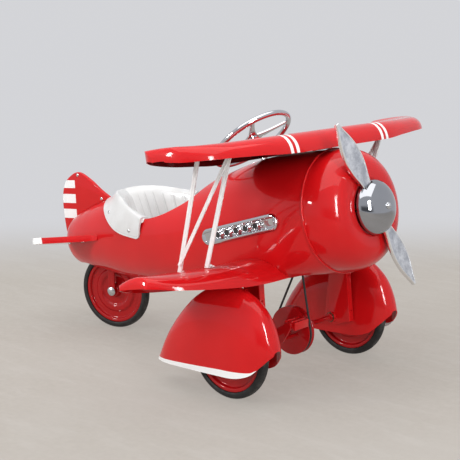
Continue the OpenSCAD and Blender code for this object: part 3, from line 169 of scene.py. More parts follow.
class Finish:
    def __init__(self, name, **constants):
        self.material = bpy.data.materials.new(name)
        self.material.use_nodes = True
        self.tree = self.material.node_tree
        self.shader = self.tree.nodes["Principled BSDF"]
        for socket, value in constants.items():
            self.set(socket.replace("_", " ").title().replace("Ior", "IOR"), value)

    def give(self, target, value):
        """A wire, a colour or a plain value for a socket."""
        if isinstance(value, Wire):
            self.tree.links.new(value.socket, target)
        elif target.type == "RGBA":
            target.default_value = tuple(value) + (1,)
        else:
            target.default_value = value

    def set(self, socket, value):
        self.give(self.shader.inputs[socket], value)

    def node(self, kind, settings=None, inputs=None):
        made = self.tree.nodes.new(kind)
        for key, value in (settings or {}).items():
            setattr(made, key, value)
        for key, value in (inputs or {}).items():
            self.give(made.inputs[key], value)
        return made

    def out(self, kind, socket, settings=None, inputs=None):
        return Wire(self, self.node(kind, settings, inputs).outputs[socket])

    def maths(self, operation, *values):
        return self.out("ShaderNodeMath", 0, {"operation": operation}, dict(enumerate(values)))

    def place(self):
        return self.out("ShaderNodeTexCoord", "Object")

    def axes(self):
        apart = self.node("ShaderNodeSeparateXYZ", None, {0: self.place()})
        return [Wire(self, apart.outputs[k]) for k in range(3)]

    def air_axes(self):
        """Place along, across and over the thrust line, in metres."""
        x, y, z = self.axes()
        along, over = turned(x - AXLE_X/1000, z - AXIS_HEIGHT/1000, -NOSE_UP)
        return along, y, over

    def attribute(self, name):
        return self.out("ShaderNodeAttribute", "Fac", {"attribute_name": name})

    def noise(self, scale, detail, rough=0.5, stretch=None):
        place = self.place()
        if stretch:
            place = self.out("ShaderNodeMapping", 0, None, {"Vector": place, "Scale": stretch})
        return self.out("ShaderNodeTexNoise", 0, None,
                        {"Vector": place, "Scale": scale, "Detail": detail, "Roughness": rough})

    def ramp(self, value, start, end, out_start=0.0, out_end=1.0):
        return self.out("ShaderNodeMapRange", 0, {"interpolation_type": "SMOOTHSTEP"},
                        {0: value, 1: start, 2: end, 3: out_start, 4: out_end})

    def grain(self, scale, detail, to=(0.0, 1.0), span=(0.3, 0.7), rough=0.5):
        """Noise, its values in the span brought to another."""
        return self.ramp(self.noise(scale, detail, rough), *span, *to)

    def blend(self, mask, first, second):
        made = self.node("ShaderNodeMix", {"data_type": "RGBA"}, {0: mask, 6: first, 7: second})
        return Wire(self, made.outputs[2])

    def bump(self, height, strength, distance):
        self.set("Normal", self.out("ShaderNodeBump", 0, None,
                                    {"Height": height, "Strength": strength, "Distance": distance}))

    def done(self, colour, roughness, *relief):
        """The material with its colour, roughness and relief."""
        self.set("Base Color", colour)
        self.set("Roughness", roughness)
        self.bump(*relief)
        return self.material


# Finishes

RED = (0.60, 0.0055, 0.0075)
# a darker copy of the red, for the wheel discs and the parts in the dark red slot: painted shade low under
# the plane
SHADED_RED = (0.42, 0.0045, 0.0065)
# the wings' underside, inside the pressing, painted far darker than the red: painted shade under the wing
UNDERSIDE_SHADE_RED = (0.13, 0.003, 0.004)
WHITE = (0.86, 0.86, 0.85)
WING_STRIPES = ((0.158, 0.168), (0.178, 0.188))
FIN_BARS = ((0.149, 0.172), (0.1045, 0.131), (0.0595, 0.0865))
FIN_BAR_FALL = 0.11
HEM_THREAD = ((0.0052, 0.0064),)


def dimmed(colour, share):
    return tuple(c*share for c in colour)


def gloss(name, full=RED):
    """Sprayed gloss enamel: even colour with faint depth changes, a clear coat and a trace of orange peel."""
    made = Finish(name, coat_roughness=0.025, coat_ior=1.36, specular_ior_level=0.05)
    made.colour = made.blend(made.grain(7, 2), full, dimmed(full, 0.9))
    made.set("Coat Weight", 1 - 0.25*made.grain(24, 6, span=(0.62, 0.8), rough=0.65))
    made.done(made.colour, made.grain(40, 4, (0.34, 0.44), (0.35, 0.75)), made.noise(210, 2), 0.035, 0.0006)
    return made


def with_white(made, mask):
    made.set("Base Color", made.blend(mask, made.colour, WHITE))
    return made.material


def bands(made, value, spans, soft):
    """One where the value lies in a span, with soft ends."""
    found = None
    for start, end in spans:
        inside = made.ramp(value, start - soft, start + soft)*(1 - made.ramp(value, end - soft, end + soft))
        found = found.largest(inside) if found else inside
    return found


def wing_enamel():
    made = gloss("wing_enamel")
    stripes = bands(made, abs(made.axes()[1]), WING_STRIPES, 0.0005)
    inside = made.attribute("inside")
    # the inside of the pressing takes the dark red: painted shade on the wing's underside
    made.colour = made.blend(inside, made.colour, UNDERSIDE_SHADE_RED)
    return with_white(made, stripes*(1 - inside))


def fin_enamel():
    made = gloss("fin_enamel")
    a, _, c = made.air_axes()
    bars = bands(made, c + FIN_BAR_FALL*(a + 0.815), FIN_BARS, 0.0006)
    rudder = 1 - made.ramp(a - 0.148*(c - 0.171), -0.8008, -0.7992)
    return with_white(made, bars*rudder)


def stabilizer_enamel():
    made = gloss("stabilizer_enamel")
    return with_white(made, made.ramp(abs(made.axes()[1]), 0.1945, 0.1955))


def pant_enamel():
    made = gloss("pant_enamel")
    return with_white(made, 1 - made.ramp(made.attribute("over_trim"), -0.0004, 0.0004))


def white_enamel():
    made = Finish("white_enamel", coat_weight=0.8, coat_roughness=0.05)
    tone = made.blend(made.grain(30, 3), WHITE, (0.92, 0.92, 0.91))
    return made.done(tone, made.grain(60, 3, (0.26, 0.4)), made.noise(300, 2), 0.05, 0.0005)


def seat_gloss():
    """Moulded white seat skin with a soft shine, a stitched hem, and painted shade in grey beside each welt
    of the pleated wall.
    """
    made = Finish("seat_gloss", coat_roughness=0.12, coat_weight=0.5)
    thread = bands(made, made.attribute("from_hem"), HEM_THREAD, 0.0003)
    tone = made.blend(made.grain(22, 3), (0.61, 0.605, 0.595), (0.665, 0.665, 0.66))
    # grey beside each welt: painted shade
    tone = made.blend(0.6*made.attribute("fold"), tone, (0.36, 0.355, 0.35))
    tone = made.blend(0.55*thread, tone, (0.40, 0.39, 0.38))
    return made.done(tone, made.grain(90, 4, (0.34, 0.46)), made.noise(700, 2)*0.3 - thread, 0.3, 0.0008)


def bright_metal(name, colour, rough, worn=0.05):
    """Plated metal with faint polishing haze."""
    made = Finish(name, metallic=1.0)
    tone = made.blend(made.grain(18, 4, span=(0.3, 0.75)), dimmed(colour, 0.94), colour)
    haze = made.grain(55, 5, (rough, rough + worn), (0.3, 0.8), 0.6)
    return made.done(tone, haze, made.noise(120, 3), 0.03, 0.0004)


def blade_metal():
    """Cast aluminium: a polished border round a duller, faintly blue field."""
    made = Finish("blade_metal", metallic=1.0)
    border = made.ramp(made.attribute("border"), 0.45, 0.55)
    blotch = made.grain(36, 6, span=(0.35, 0.7), rough=0.7)
    field = made.blend(blotch, (0.44, 0.46, 0.51), (0.80, 0.82, 0.86))
    tone = made.blend(border, field, (0.88, 0.88, 0.87))
    return made.done(tone, made.ramp(border, 0, 1, 0.42, 0.16), made.noise(300, 5)*(1 - border), 0.16, 0.0007)


def tyre_rubber():
    """Solid rubber, greyed by floor dust where it rolls."""
    made = Finish("tyre_rubber", specular_ior_level=0.3)
    rolled = made.ramp(made.attribute("tread"), 0.2, 0.9)
    dust = made.grain(38, 5, span=(0.4, 0.75), rough=0.6)*(0.25 + 0.75*rolled)
    tone = made.blend(dust, (0.013, 0.012, 0.012), (0.075, 0.070, 0.066))
    return made.done(tone, made.grain(120, 4, (0.5, 0.75)), made.noise(900, 3), 0.2, 0.0005)


def plain_coat(name, colour, rough):
    made = Finish(name)
    tone = made.blend(made.grain(45, 4), dimmed(colour, 0.8), colour)
    return made.done(tone, made.grain(80, 4, (rough, rough + 0.15)), made.noise(350, 3), 0.1, 0.0005)


red_enamel = gloss("red_enamel").material
shaded_red_finish = gloss("shaded_red_enamel", SHADED_RED).material
wing_red = wing_enamel()
fin_red = fin_enamel()
stabilizer_red = stabilizer_enamel()
pant_red = pant_enamel()
strut_white = white_enamel()
seat_white = seat_gloss()
chrome = bright_metal("chrome_plate", (0.60, 0.61, 0.64), 0.045)
# darker than the chrome plate so the spinner's reflections come out dim: painted shade in the metal's colour
spinner_shaded_metal = bright_metal("polished_spinner_shaded", (0.40, 0.41, 0.44), 0.035)
cast_blade = blade_metal()
plated_steel = bright_metal("plated_steel", (0.60, 0.61, 0.62), 0.22, 0.12)
bronze = bright_metal("bush_bronze", (0.15, 0.105, 0.07), 0.35, 0.15)
rubber = tyre_rubber()
black_coat = plain_coat("black_coat", (0.02, 0.02, 0.021), 0.4)
belt_rubber = plain_coat("belt_rubber", (0.016, 0.016, 0.017), 0.55)
# black for the plugs inside the exhaust stubs: painted shade where the holes are dark
port_shade_black = plain_coat("port_painted_shade", (0.012, 0.012, 0.013), 0.6)

FINISH_OF_SLOT = {
    "red_paint": red_enamel, "dark_red_paint": shaded_red_finish, "white_paint": strut_white,
    "seat_white": seat_white, "chrome": chrome, "aluminium": cast_blade, "steel": plated_steel,
    "black_paint": black_coat, "bronze": bronze, "tyre": rubber, "belt": belt_rubber}


# Meshes

SHARP = 40
DRESS_SHARP = 32
STAMP_SHARP = 35


def link(name, mesh, material):
    mesh.materials.clear()
    mesh.materials.append(material)
    piece = bpy.data.objects.new(name, mesh)
    bpy.context.scene.collection.objects.link(piece)
    return piece


def solid(name, points, faces, material, sharp=SHARP, merge=1e-6, recalc=True):
    """A new piece from points in metres."""
    mesh = bpy.data.meshes.new(name)
    mesh.from_pydata([tuple(p) for p in points], [], [tuple(int(k) for k in f) for f in faces])
    made = bmesh.new()
    made.from_mesh(mesh)
    bmesh.ops.remove_doubles(made, verts=made.verts, dist=merge)
    bmesh.ops.dissolve_degenerate(made, dist=merge, edges=made.edges)
    if recalc:
        bmesh.ops.recalc_face_normals(made, faces=made.faces)
    made.to_mesh(mesh)
    made.free()
    smooth(mesh, sharp)
    return link(name, mesh, material)


def smooth(mesh, sharp):
    for face in mesh.polygons:
        face.use_smooth = True
    mesh.set_sharp_from_angle(angle=math.radians(sharp))


def note(mesh, name, values):
    """A value kept at each point of a mesh."""
    store = mesh.attributes.new(name, "FLOAT", "POINT")
    store.data.foreach_set("value", np.asarray(values, np.float32).ravel())


def ground_points(mesh):
    """A mesh's points in the ground frame, in millimetres."""
    flat = np.empty(3*len(mesh.vertices), np.float32)
    mesh.vertices.foreach_get("co", flat)
    return 1000*flat.reshape(-1, 3).astype(float) - np.array([AXLE_X, 0, 0])


def joined(parts):
    """Points and faces of several solids as one."""
    points, faces, start = [], [], 0
    for p, f in parts:
        points.append(p)
        faces += [tuple(k + start for k in face) for face in f]
        start += len(p)
    return np.concatenate(points), faces


def grid_faces(rows, cols, loop=False):
    faces = []
    for i in range(0, (rows - 1)*cols, cols):
        for j in range(cols if loop else cols - 1):
            k = (j + 1) % cols
            faces.append((i + j, i + cols + j, i + cols + k, i + k))
    return faces


def grid_normals(grid):
    along = np.gradient(grid, axis=0)
    across = np.gradient(grid, axis=1)
    n = np.cross(along, across)
    return n/np.maximum(np.linalg.norm(n, axis=-1, keepdims=True), 1e-9)


def sheet_parts(grid, wall):
    """Points and faces of an even wall behind a grid."""
    rows, cols = grid.shape[:2]
    count = rows*cols
    points = np.concatenate([grid.reshape(-1, 3), (grid - wall*grid_normals(grid)).reshape(-1, 3)])
    front = grid_faces(rows, cols)
    back = [tuple(k + count for k in reversed(f)) for f in front]
    border = list(range(cols)) + [i*cols + cols - 1 for i in range(1, rows)]
    border += [(rows - 1)*cols + j for j in range(cols - 2, -1, -1)]
    border += [i*cols for i in range(rows - 2, 0, -1)]
    edge = [(p, q, q + count, p + count) for p, q in zip(border, border[1:] + border[:1])]
    return points, front + back + edge


def lathe_parts(profile, segments, closed=True):
    """A turned solid about the first axis from (radius, place along) points."""
    profile = np.asarray(profile, float)
    t = np.linspace(0, 2*math.pi, segments, endpoint=False)
    r, along = profile[:, 0:1], profile[:, 1:2]
    points = np.stack([along + 0*t, r*np.cos(t), r*np.sin(t)], -1).reshape(-1, 3)
    rows = len(profile) + (1 if closed else 0)
    faces = grid_faces(rows, segments, loop=True)
    return points, [tuple(k % len(points) for k in f) for f in faces]


def rounded(points, radius, steps=4, closed=True):
    """Corners of a flat outline turned into arcs of about that radius."""
    points = [np.asarray(p, float) for p in points]
    done = []
    for k, p in enumerate(points):
        if not closed and k in (0, len(points) - 1):
            done.append(p)
            continue
        before = points[k - 1] - p
        after = points[(k + 1) % len(points)] - p
        reach = min(radius, 0.45*np.linalg.norm(before), 0.45*np.linalg.norm(after))
        start = p + before/max(np.linalg.norm(before), 1e-9)*reach
        end = p + after/max(np.linalg.norm(after), 1e-9)*reach
        for t in np.linspace(0, 1, steps):
            done.append((1 - t)**2*start + 2*t*(1 - t)*p + t**2*end)
    return np.array(done)


def settle(piece, node):
    """The piece stands for its CAD node and rides on the node's body."""
    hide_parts(node)
    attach(piece, BODY[node])


def carried(piece, body):
    """A piece of its own that stands for no CAD node."""
    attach(piece, body)


def plain_mesh(piece):
    """The piece's modifiers made part of its mesh."""
    bpy.context.view_layer.update()
    graph = bpy.context.evaluated_depsgraph_get()
    mesh = bpy.data.meshes.new_from_object(piece.evaluated_get(graph))
    piece.modifiers.clear()
    piece.data = mesh


def shaped(piece, kind, sharp, **settings):
    """The piece with a modifier made part of its mesh."""
    change = piece.modifiers.new(kind.lower(), kind)
    for key, value in settings.items():
        setattr(change, key, value)
    plain_mesh(piece)
    smooth(piece.data, sharp)
    return piece


def dress(node, bevel):
    """A CAD piece with its facets joined and its edges eased."""
    mesh = frame["nodes"][node].data.copy()
    made = bmesh.new()
    made.from_mesh(mesh)
    bmesh.ops.remove_doubles(made, verts=made.verts, dist=2e-6)
    bmesh.ops.dissolve_limit(made, angle_limit=math.radians(0.4), verts=made.verts, edges=made.edges)
    made.to_mesh(mesh)
    made.free()
    piece = link(node + "_finish", mesh, FINISH_OF_SLOT[SLOT[node]])
    if bevel:
        shaped(piece, "BEVEL", DRESS_SHARP, width=bevel/1000, segments=2, limit_method="ANGLE",
               angle_limit=math.radians(DRESS_SHARP))
    else:
        smooth(mesh, DRESS_SHARP)
    settle(piece, node)


# Fuselage

TOP_LINE = [[-TAIL_AT, 40], [-830, 58], [-760, 82], [-650, 103], [-540, 107], [-420, 98], [-300, 106],
            [-170, 127], [-60, 147], [40, 150], [JOINT_AT, NOSE_R]]
BELLY_LINE = [[-TAIL_AT, -46], [-790, -80], [-663, -107], [-569, -127], [-420, -140], [-300, -147],
              [-60, -152], [40, -151], [JOINT_AT, -NOSE_R]]
SIDE_LINE = [[-TAIL_AT, 38], [-830, 48], [-760, 67], [-660, 86], [-540, 104], [-420, 119], [-300, 131],
             [-170, 141], [-60, 148], [40, 149.5], [JOINT_AT, NOSE_R]]
BELLY_POWER = [[-TAIL_AT, 2.2], [-600, 2.6], [-300, 3.2], [30, 3.4], [100, 2.6], [JOINT_AT, 2]]
GAP_LINE = [[-TAIL_AT, 3], [-810, 26], [-760, 48], [-700, 52], [-560, 54], [-460, 72], [-330, 92], [-200, 95],
            [60, 95], [110, 66], [JOINT_AT, 16]]
TAIL_ROUND = 56
COCKPIT_FRONT = -176
COCKPIT_BACK = -592
COCKPIT_EDGE = [[COCKPIT_BACK, 103], [-540, 82], [-480, 54], [-425, 40], [-362, 44], [-300, 58], [-240, 79],
                [-205, 103], [COCKPIT_FRONT, 122]]


def body_lines(a):
    q = np.maximum(0, (TAIL_ROUND - TAIL_AT - a)/TAIL_ROUND)
    close = np.sqrt(np.maximum(0.0004, 1 - q*q))
    top, belly = curve(TOP_LINE, a), curve(BELLY_LINE, a)
    mid = (top + belly)/2
    return mid, (top - mid)*close, (mid - belly)*close, curve(SIDE_LINE, a)*close


def body_half(a, upper, grow=0):
    """Middle, side, height and power of the skin's upper or lower half."""
    mid, top, belly, side = body_lines(a)
    power = np.where(upper, mix(2.1, 2, np.maximum(0, a/JOINT_AT)), curve(BELLY_POWER, a))
    return mid, side + grow, np.where(upper, top, belly) + grow, power


def body_point(a, angle, grow=0):
    """A point of the fuselage's skin: angle in degrees from the top, left positive."""
    a, angle, grow = np.broadcast_arrays(np.asarray(a, float), angle, grow)
    mid, side, h, power = body_half(a, np.abs(angle) <= 90, grow)
    s, c = np.sin(np.radians(angle)), np.cos(np.radians(angle))
    return np.stack([a, side*signed_power(s, 2/power), mid + h*signed_power(c, 2/power)], -1)


def body_side(a, c):
    """Half the fuselage's width at a place along it and a height."""
    a = np.asarray(a, float)
    mid, side, h, power = body_half(a, c >= body_lines(a)[0])
    return side*np.maximum(0, 1 - (np.abs(c - mid)/h)**power)**(1/power)


def clipped(points, faces, keep):
    """Triangles of a surface with the part where keep is below zero cut away along a clean edge."""
    value = keep(np.asarray(points, float))
    points = list(points)
    cuts = {}

    def fan(ring):
        return [(ring[0], ring[k], ring[k + 1]) for k in range(1, len(ring) - 1)]

    def cut(i, j):
        key = (min(i, j), max(i, j))
        if key not in cuts:
            t = value[i]/(value[i] - value[j])
            points.append(points[i] + (points[j] - points[i])*t)
            cuts[key] = len(points) - 1
        return cuts[key]

    done = []
    for tri in (tri for f in faces for tri in fan(f)):
        ring = []
        for i, j in zip(tri, tri[1:] + tri[:1]):
            if value[i] >= 0:
                ring.append(i)
            if (value[i] >= 0) != (value[j] >= 0):
                ring.append(cut(i, j))
        done += fan(ring)
    used = sorted({k for f in done for k in f})
    index = {k: n for n, k in enumerate(used)}
    return np.array([points[k] for k in used]), [tuple(index[k] for k in f) for f in done]


def thick(name, points, faces, wall, material):
    """A surface given its wall behind it."""
    piece = solid(name, points, faces, material, recalc=False)
    return shaped(piece, "SOLIDIFY", SHARP, thickness=wall/1000, offset=-1, use_even_offset=False)


def fuselage():
    stations = np.concatenate([
        -TAIL_AT + TAIL_ROUND*(1 - np.sin(np.radians(np.linspace(88, 4, 18)))),
        np.linspace(TAIL_ROUND - TAIL_AT, JOINT_AT, 190)])
    width = np.minimum(0.9, curve(GAP_LINE, stations)/curve(SIDE_LINE, stations))
    gap = np.degrees(np.arcsin(width**(curve(BELLY_POWER, stations)/2)))
    turn = np.stack([np.linspace(g - 180, 180 - g, 121) for g in gap])
    skin = body_point(stations[:, None], turn)

    def keep(p):
        edge = curve(COCKPIT_EDGE, np.clip(p[:, 0], COCKPIT_BACK, COCKPIT_FRONT))
        return np.maximum(np.maximum(edge - p[:, 2], COCKPIT_BACK - p[:, 0]), p[:, 0] - COCKPIT_FRONT)

    points, faces = clipped(skin.reshape(-1, 3), grid_faces(*skin.shape[:2]), keep)
    settle(thick("fuselage_skin", from_air(points), faces, SKIN, red_enamel), "fuselage_shell")


# Nose cowl, turned with a rolled bead at its joint

COWL_LEN, COWL_MOUTH, COWL_POWER = 92, 84, 2.4


def cowl():
    fall, rise = quarter(40, COWL_POWER)
    back = JOINT_AT + 0.3
    front = back + COWL_LEN

    def sweep(r, start, end):
        return np.stack([mix(COWL_MOUTH, r, fall), mix(start, end, rise)], 1)

    t = np.linspace(0, math.pi, 9)
    bead = np.stack([NOSE_R + 1.4 + 1.9*np.sin(t), back + 2.5 - 2.5*np.cos(t)], 1)
    lip = rounded([[COWL_MOUTH, front], [67, front - 0.4], [58, front - 6], [58, front - 9], [66, front - 3],
                   [COWL_MOUTH, front - SKIN]], 5, closed=False)
    profile = np.concatenate([[[NOSE_R - SKIN, back]], bead, sweep(NOSE_R, back + 5, front)[:-1], lip,
                              sweep(NOSE_R - SKIN, back, front - SKIN)[::-1][1:]])
    points, faces = lathe_parts(profile, 128)
    settle(solid("cowl_skin", from_air(points), faces, red_enamel, sharp=50), "nose_cowl")


# Wheel pants

PANT_CROWN = [[-222, 63], [-205, 102], [-180, 145], [-140, 196], [-100, 234], [-50, 263], [0, 274], [50, 267],
              [100, 236], [128, 196], [146, 142]]
PANT_EDGE = [[-222, 53], [-100, 62], [0, 67], [57, 71], [100, 86], [127, 112], [146, 134]]
PANT_TRIM = [[-222, 8], [-100, 12], [0, 16], [45, 16.5], [75, 13], [100, 6], [116, 0], [146, -30]]
PANT_HALF = [[-222, 0.38], [-190, 0.66], [-150, 0.82], [-80, 0.96], [0, 1], [60, 0.98], [110, 0.8],
             [135, 0.5], [146, 0.24]]
PANT_WIDTH, PANT_POWER = 51, 2.3
PRESSING = 2


def pant_half(side, outer):
    name = sided("pant_outer" if outer else "pant_inner", side)
    x = np.linspace(PANT_EDGE[0][0], PANT_EDGE[-1][0], 64)[:, None]
    fall, rise = quarter(40, PANT_POWER)
    half = curve(PANT_HALF, x)*PANT_WIDTH*fall
    z = mix(curve(PANT_EDGE, x), curve(PANT_CROWN, x), rise)
    points, faces = sheet_parts(np.stack([x + 0*fall, -half - 0.15, z], -1), PRESSING)
    if not outer:
        points = mirrored(points)
    points = from_ground(on_side(points + np.array([0, -TRACK/2, 0]), side))
    piece = solid(name + "_skin", points, faces, pant_red if outer else red_enamel, sharp=50)
    if outer:
        x, _, z = ground_points(piece.data).T
        note(piece.data, "over_trim", (z - curve(PANT_EDGE, x) - curve(PANT_TRIM, x))/1000)
    settle(piece, name)


# Wings

UPPER = {"front": 181, "chord": 236, "rim": 150, "crest": 196, "nose": 40,
         "sweep": [[0, 0], [190, 0], [260, -7], [330, -18], [370, -26], [395, -36], [415, -50], [430, -67],
                   [440, -85], [446, -101], [449, -118], [450, -132]],
         "taper": [[0, 0], [250, 0], [350, 6], [400, 13], [425, 23], [440, 37], [447, 51], [450, 66]],
         "lift": [[0, 0], [190, 0], [260, 5], [330, 10], [400, 17], [450, 25]],
         "swell": [[0, 0], [300, 0], [400, 5], [450, 13]], "twist": [[0, 0], [300, 0], [400, 8], [450, 17]],
         "tail": [[0, 14], [300, 14], [400, 22], [450, 28]], "ease": 24}
LOWER = {"front": 44, "chord": 236, "rim": -139, "crest": -82, "nose": 84,
         "sweep": [[0, 0], [200, 0], [290, -18], [360, -44], [400, -64], [430, -88], [450, -118]],
         "taper": [[0, 0], [300, 0], [400, 8], [440, 20], [450, 30]],
         "lift": [[0, 0], [200, 2], [290, 11], [396, 28], [450, 42]],
         "swell": [[0, 0], [300, 4], [400, 9], [450, 14]], "twist": [[0, 0], [450, 0]],
         "tail": [[0, 14], [450, 14]], "ease": 16}
WING_NOSE_POWER, WING_FALL_POWER, WING_TIP_POWER = 2.2, 1.7, 2.6


def section(wing, y):
    """Section of a wing from its front rim over the crest to its rear rim."""
    sweep, taper, lift, swell, tail, twist = (
        float(curve(wing[key], abs(y))) for key in ("sweep", "taper", "lift", "swell", "tail", "twist"))
    front = wing["front"] + sweep
    rear = wing["front"] - wing["chord"] + taper
    rim = wing["rim"] + lift
    crest = wing["crest"] + swell
    nose = min(wing["nose"], 0.45*(front - rear))
    back, up = quarter(24, WING_NOSE_POWER)
    ahead = np.stack([mix(front - nose, front, back), mix(rim, crest, up)], 1)
    q = np.linspace(0, 1, 26)[1:]
    fall = max(4, crest - rim - tail)
    over = np.stack([mix(front - nose, rear, q), crest - fall*q**WING_FALL_POWER], 1)
    drop = np.stack([np.full(5, rear), np.linspace(over[-1, 1], rim, 6)[1:]], 1)
    flat = np.concatenate([ahead, over, drop])
    middle = (front + rear)/2
    flat[:, 1] += twist*(middle - flat[:, 0])/(front - rear)
    # the tip rounds over
    inward = max(0.0, (abs(y) - (HALF_SPAN - wing["ease"]))/wing["ease"])
    keep = max(0.06, (1 - min(1, inward)**WING_TIP_POWER)**(1/WING_TIP_POWER))
    flat[:, 1] = rim + (flat[:, 1] - rim)*keep
    flat[:, 0] = middle + (flat[:, 0] - middle)*mix(0.97, 1, keep)
    return flat


def span_rows(wing, places):
    return np.stack([np.stack([s[:, 0], np.full(len(s), y), s[:, 1]], 1)
                     for y, s in ((y, section(wing, y)) for y in places)])


def tip_places(wing, start, count):
    ease = wing["ease"]
    inner = np.linspace(start, HALF_SPAN - ease, count)
    return np.concatenate([inner, mix(HALF_SPAN - ease, HALF_SPAN, quarter(26)[1][1:])])


def upper_wing():
    half = tip_places(UPPER, 0, 60)
    points, faces = sheet_parts(span_rows(UPPER, np.concatenate([-half[::-1], half[1:]])), PRESSING)
    piece = solid("upper_wing_skin", from_air(points), faces, wing_red, sharp=45)
    # the inside layer is marked for the painted shade under the wing and to keep the stripes off it
    note(piece.data, "inside", np.repeat([0.0, 1.0], len(points)//2))
    settle(piece, "upper_wing")


def lower_wing(side):
    name = sided("lower_wing", side)
    grid = span_rows(LOWER, -tip_places(LOWER, 158, 50)[::-1])
    root = section(LOWER, NOSE_R)
    root = np.stack([root[:, 0], -body_side(root[:, 0], root[:, 1]) - 0.4, root[:, 1]], 1)
    ease = [mix(grid[-1], root, t) for t in (0.25, 0.5, 0.75, 1)]
    points, faces = sheet_parts(np.concatenate([grid, ease]), PRESSING)
    settle(solid(name + "_skin", from_air(on_side(points, side)), faces, red_enamel, sharp=45), name)


# Seat: an apron over the fuselage, a rolled rim and a pleated wall down to a floor

PLEATS = 14
SEAT_PLACES = (0, 0.35, 0.65, 1)
SEAT_LINES = {
    "edge_a": (-655, -612, -545, -437), "edge_turn": (0, 48, 77, 87),
    "rim_a": (-600, -575, -512, -422), "rim_turn": (0, 24, 40, 56), "rim_up": (10, 15, 18, 15),
    "in_a": (-579, -556, -503, -414), "in_y": (0, 44, 71, 91), "in_c": (104, 101, 83, 54),
    "floor_a": (-537, -520, -470, -396), "floor_y": (0, 44, 65, 71)}
SEAT_LEAN = [[-1, -15], [-0.66, -11], [-0.5, 2], [0, 4], [0.45, 12], [0.67, 16], [1, 26]]
SEAT_FLOOR = -50
SEAT_CORNER = 16
SEAT_ROWS = 64
SEAT_WALL = 4
PAD, WELT, WELT_WIDTH = 2.5, 2.8, 0.07


def seat_value(name, s):
    return curve(np.stack([SEAT_PLACES, SEAT_LINES[name]], 1), np.abs(s))


def apron_point(s, t):
    s = np.asarray(s, float)
    a = mix(seat_value("edge_a", s), seat_value("rim_a", s), t)
    turn = np.sign(s)*mix(seat_value("edge_turn", s), seat_value("rim_turn", s), t)
    return body_point(a, turn, mix(4.6, seat_value("rim_up", s) + 4, t*t))


def leaned(points, s, share):
    """Rows of the seat as it sits, a little higher on the left."""
    return points + np.stack([0*s, 0*s, curve(SEAT_LEAN, s)*share], 1)


def along_rows(grid):
    """Distance of each point from the first row, along its column."""
    steps = np.linalg.norm(np.diff(grid, axis=0), axis=-1)
    return np.concatenate([np.zeros((1, grid.shape[1])), np.cumsum(steps, axis=0)])


def seat():
    s = np.linspace(-1, 1, PLEATS*26 + 1)
    inner = np.stack([seat_value("in_a", s), np.sign(s)*seat_value("in_y", s), seat_value("in_c", s)], 1)
    base = np.stack([seat_value("floor_a", s), np.sign(s)*seat_value("floor_y", s), SEAT_FLOOR + 0*s], 1)
    # the apron's lower front corners are round
    edge = apron_point(s, 0)
    run = along_rows(edge[:, None])[:, 0]
    from_end = np.minimum(run, run[-1] - run)
    near = np.maximum(0, 1 - from_end/SEAT_CORNER)
    lift = SEAT_CORNER*(1 - np.sqrt(1 - near**2))
    start = lift/np.linalg.norm(apron_point(s, 1) - edge, axis=1)
    rows = [leaned(apron_point(s, mix(start, 1, t)), s, t*t) for t in (0, 1/3, 2/3, 1)]
    inner = leaned(inner, s, 1)
    rows.append(mix(rows[-1], inner, 0.55) + np.array([0, 0, 3]))
    # each pleat is a soft pad between two narrow welts
    u = PLEATS*(s + 1)/2
    to_welt = np.abs(u - np.round(u))
    pad = PAD*(1 - (1 - 2*to_welt)**4)
    welt = WELT*np.exp(-(to_welt/WELT_WIDTH)**2)
    for t in (0, 0.12, 0.25, 0.5, 0.75, 1):
        p = mix(inner, base, t)
        d = np.stack([-450 - p[:, 0], -p[:, 1], 0*s], 1)
        d = d/np.linalg.norm(d, axis=1, keepdims=True)
        rows.append(p + d*((pad + welt)*min(1, 8*t)*min(1, 2*(1 - t)))[:, None])
    grid = through(np.array(rows), SEAT_ROWS)
    count = grid.shape[0]*grid.shape[1]
    wall_row = SEAT_ROWS*5/(len(rows) - 1)
    # a narrow band beside each welt on the pleated wall, where grey is painted as shade
    beside = np.clip(1 - np.abs(np.mod(u + 0.5, 1) - 0.62)/0.09, 0, 1)
    fold = np.clip((np.arange(SEAT_ROWS) - wall_row)/3, 0, 1)[:, None]*beside[None, :]
    up, over = along_rows(grid), along_rows(grid.transpose(1, 0, 2)).T
    hem = np.minimum(up, np.minimum(over, over[:, -1:] - over))/1000
    points, faces = sheet_parts(grid, SEAT_WALL)
    # a web closes each front end of the rolled rim
    first, last = int(SEAT_ROWS*0.2), int(SEAT_ROWS*0.5)
    for col, step in ((0, 1), (grid.shape[1] - 1, -1)):
        ring = [count + i*grid.shape[1] + col for i in range(first, last)]
        faces.append(tuple(ring[::step]))
    piece = solid("seat_shell", from_air(points), faces, seat_white, sharp=60, merge=1e-9, recalc=False)
    note(piece.data, "fold", [fold, 0*fold])
    note(piece.data, "from_hem", [hem, 0*hem + 1])
    settle(piece, "seat")
    ring = base[::13, :2] - np.array([2, 0])
    n = len(ring)
    points = [[x, y, SEAT_FLOOR + up] for up in (1.5, -4) for x, y in ring]
    faces = [tuple(range(n)), tuple(range(2*n - 1, n - 1, -1))]
    faces += [(k, n + k, n + (k + 1) % n, (k + 1) % n) for k in range(n)]
    floor = solid("seat_floor_pan", from_air(points), faces, seat_white)
    note(floor.data, "from_hem", np.ones(len(floor.data.vertices)))
    carried(floor, "airframe")


# Exhaust trims

TRIM_HALF = [[-1, 0], [-0.97, 2.8], [-0.9, 4.9], [-0.78, 6.2], [-0.62, 6.0], [-0.54, 4.4], [-0.46, 3.0]]
TRIM_RELIEF = TRIM_HALF + [[0, 2.6]] + [[-p, q] for p, q in reversed(TRIM_HALF)]
TRIM_LEN, TRIM_H, TRIM_RISE = 256, 42, math.radians(5.5)
TRIM_AT, TRIM_UP = -50, -10
TRIM_WALL, TRIM_OFF = 1.2, 1.1
PORT_PITCH = 32


def trim_place(q, t):
    a, c = turned(q*TRIM_LEN/2, t*TRIM_H/2, TRIM_RISE)
    return TRIM_AT + a, TRIM_UP + c


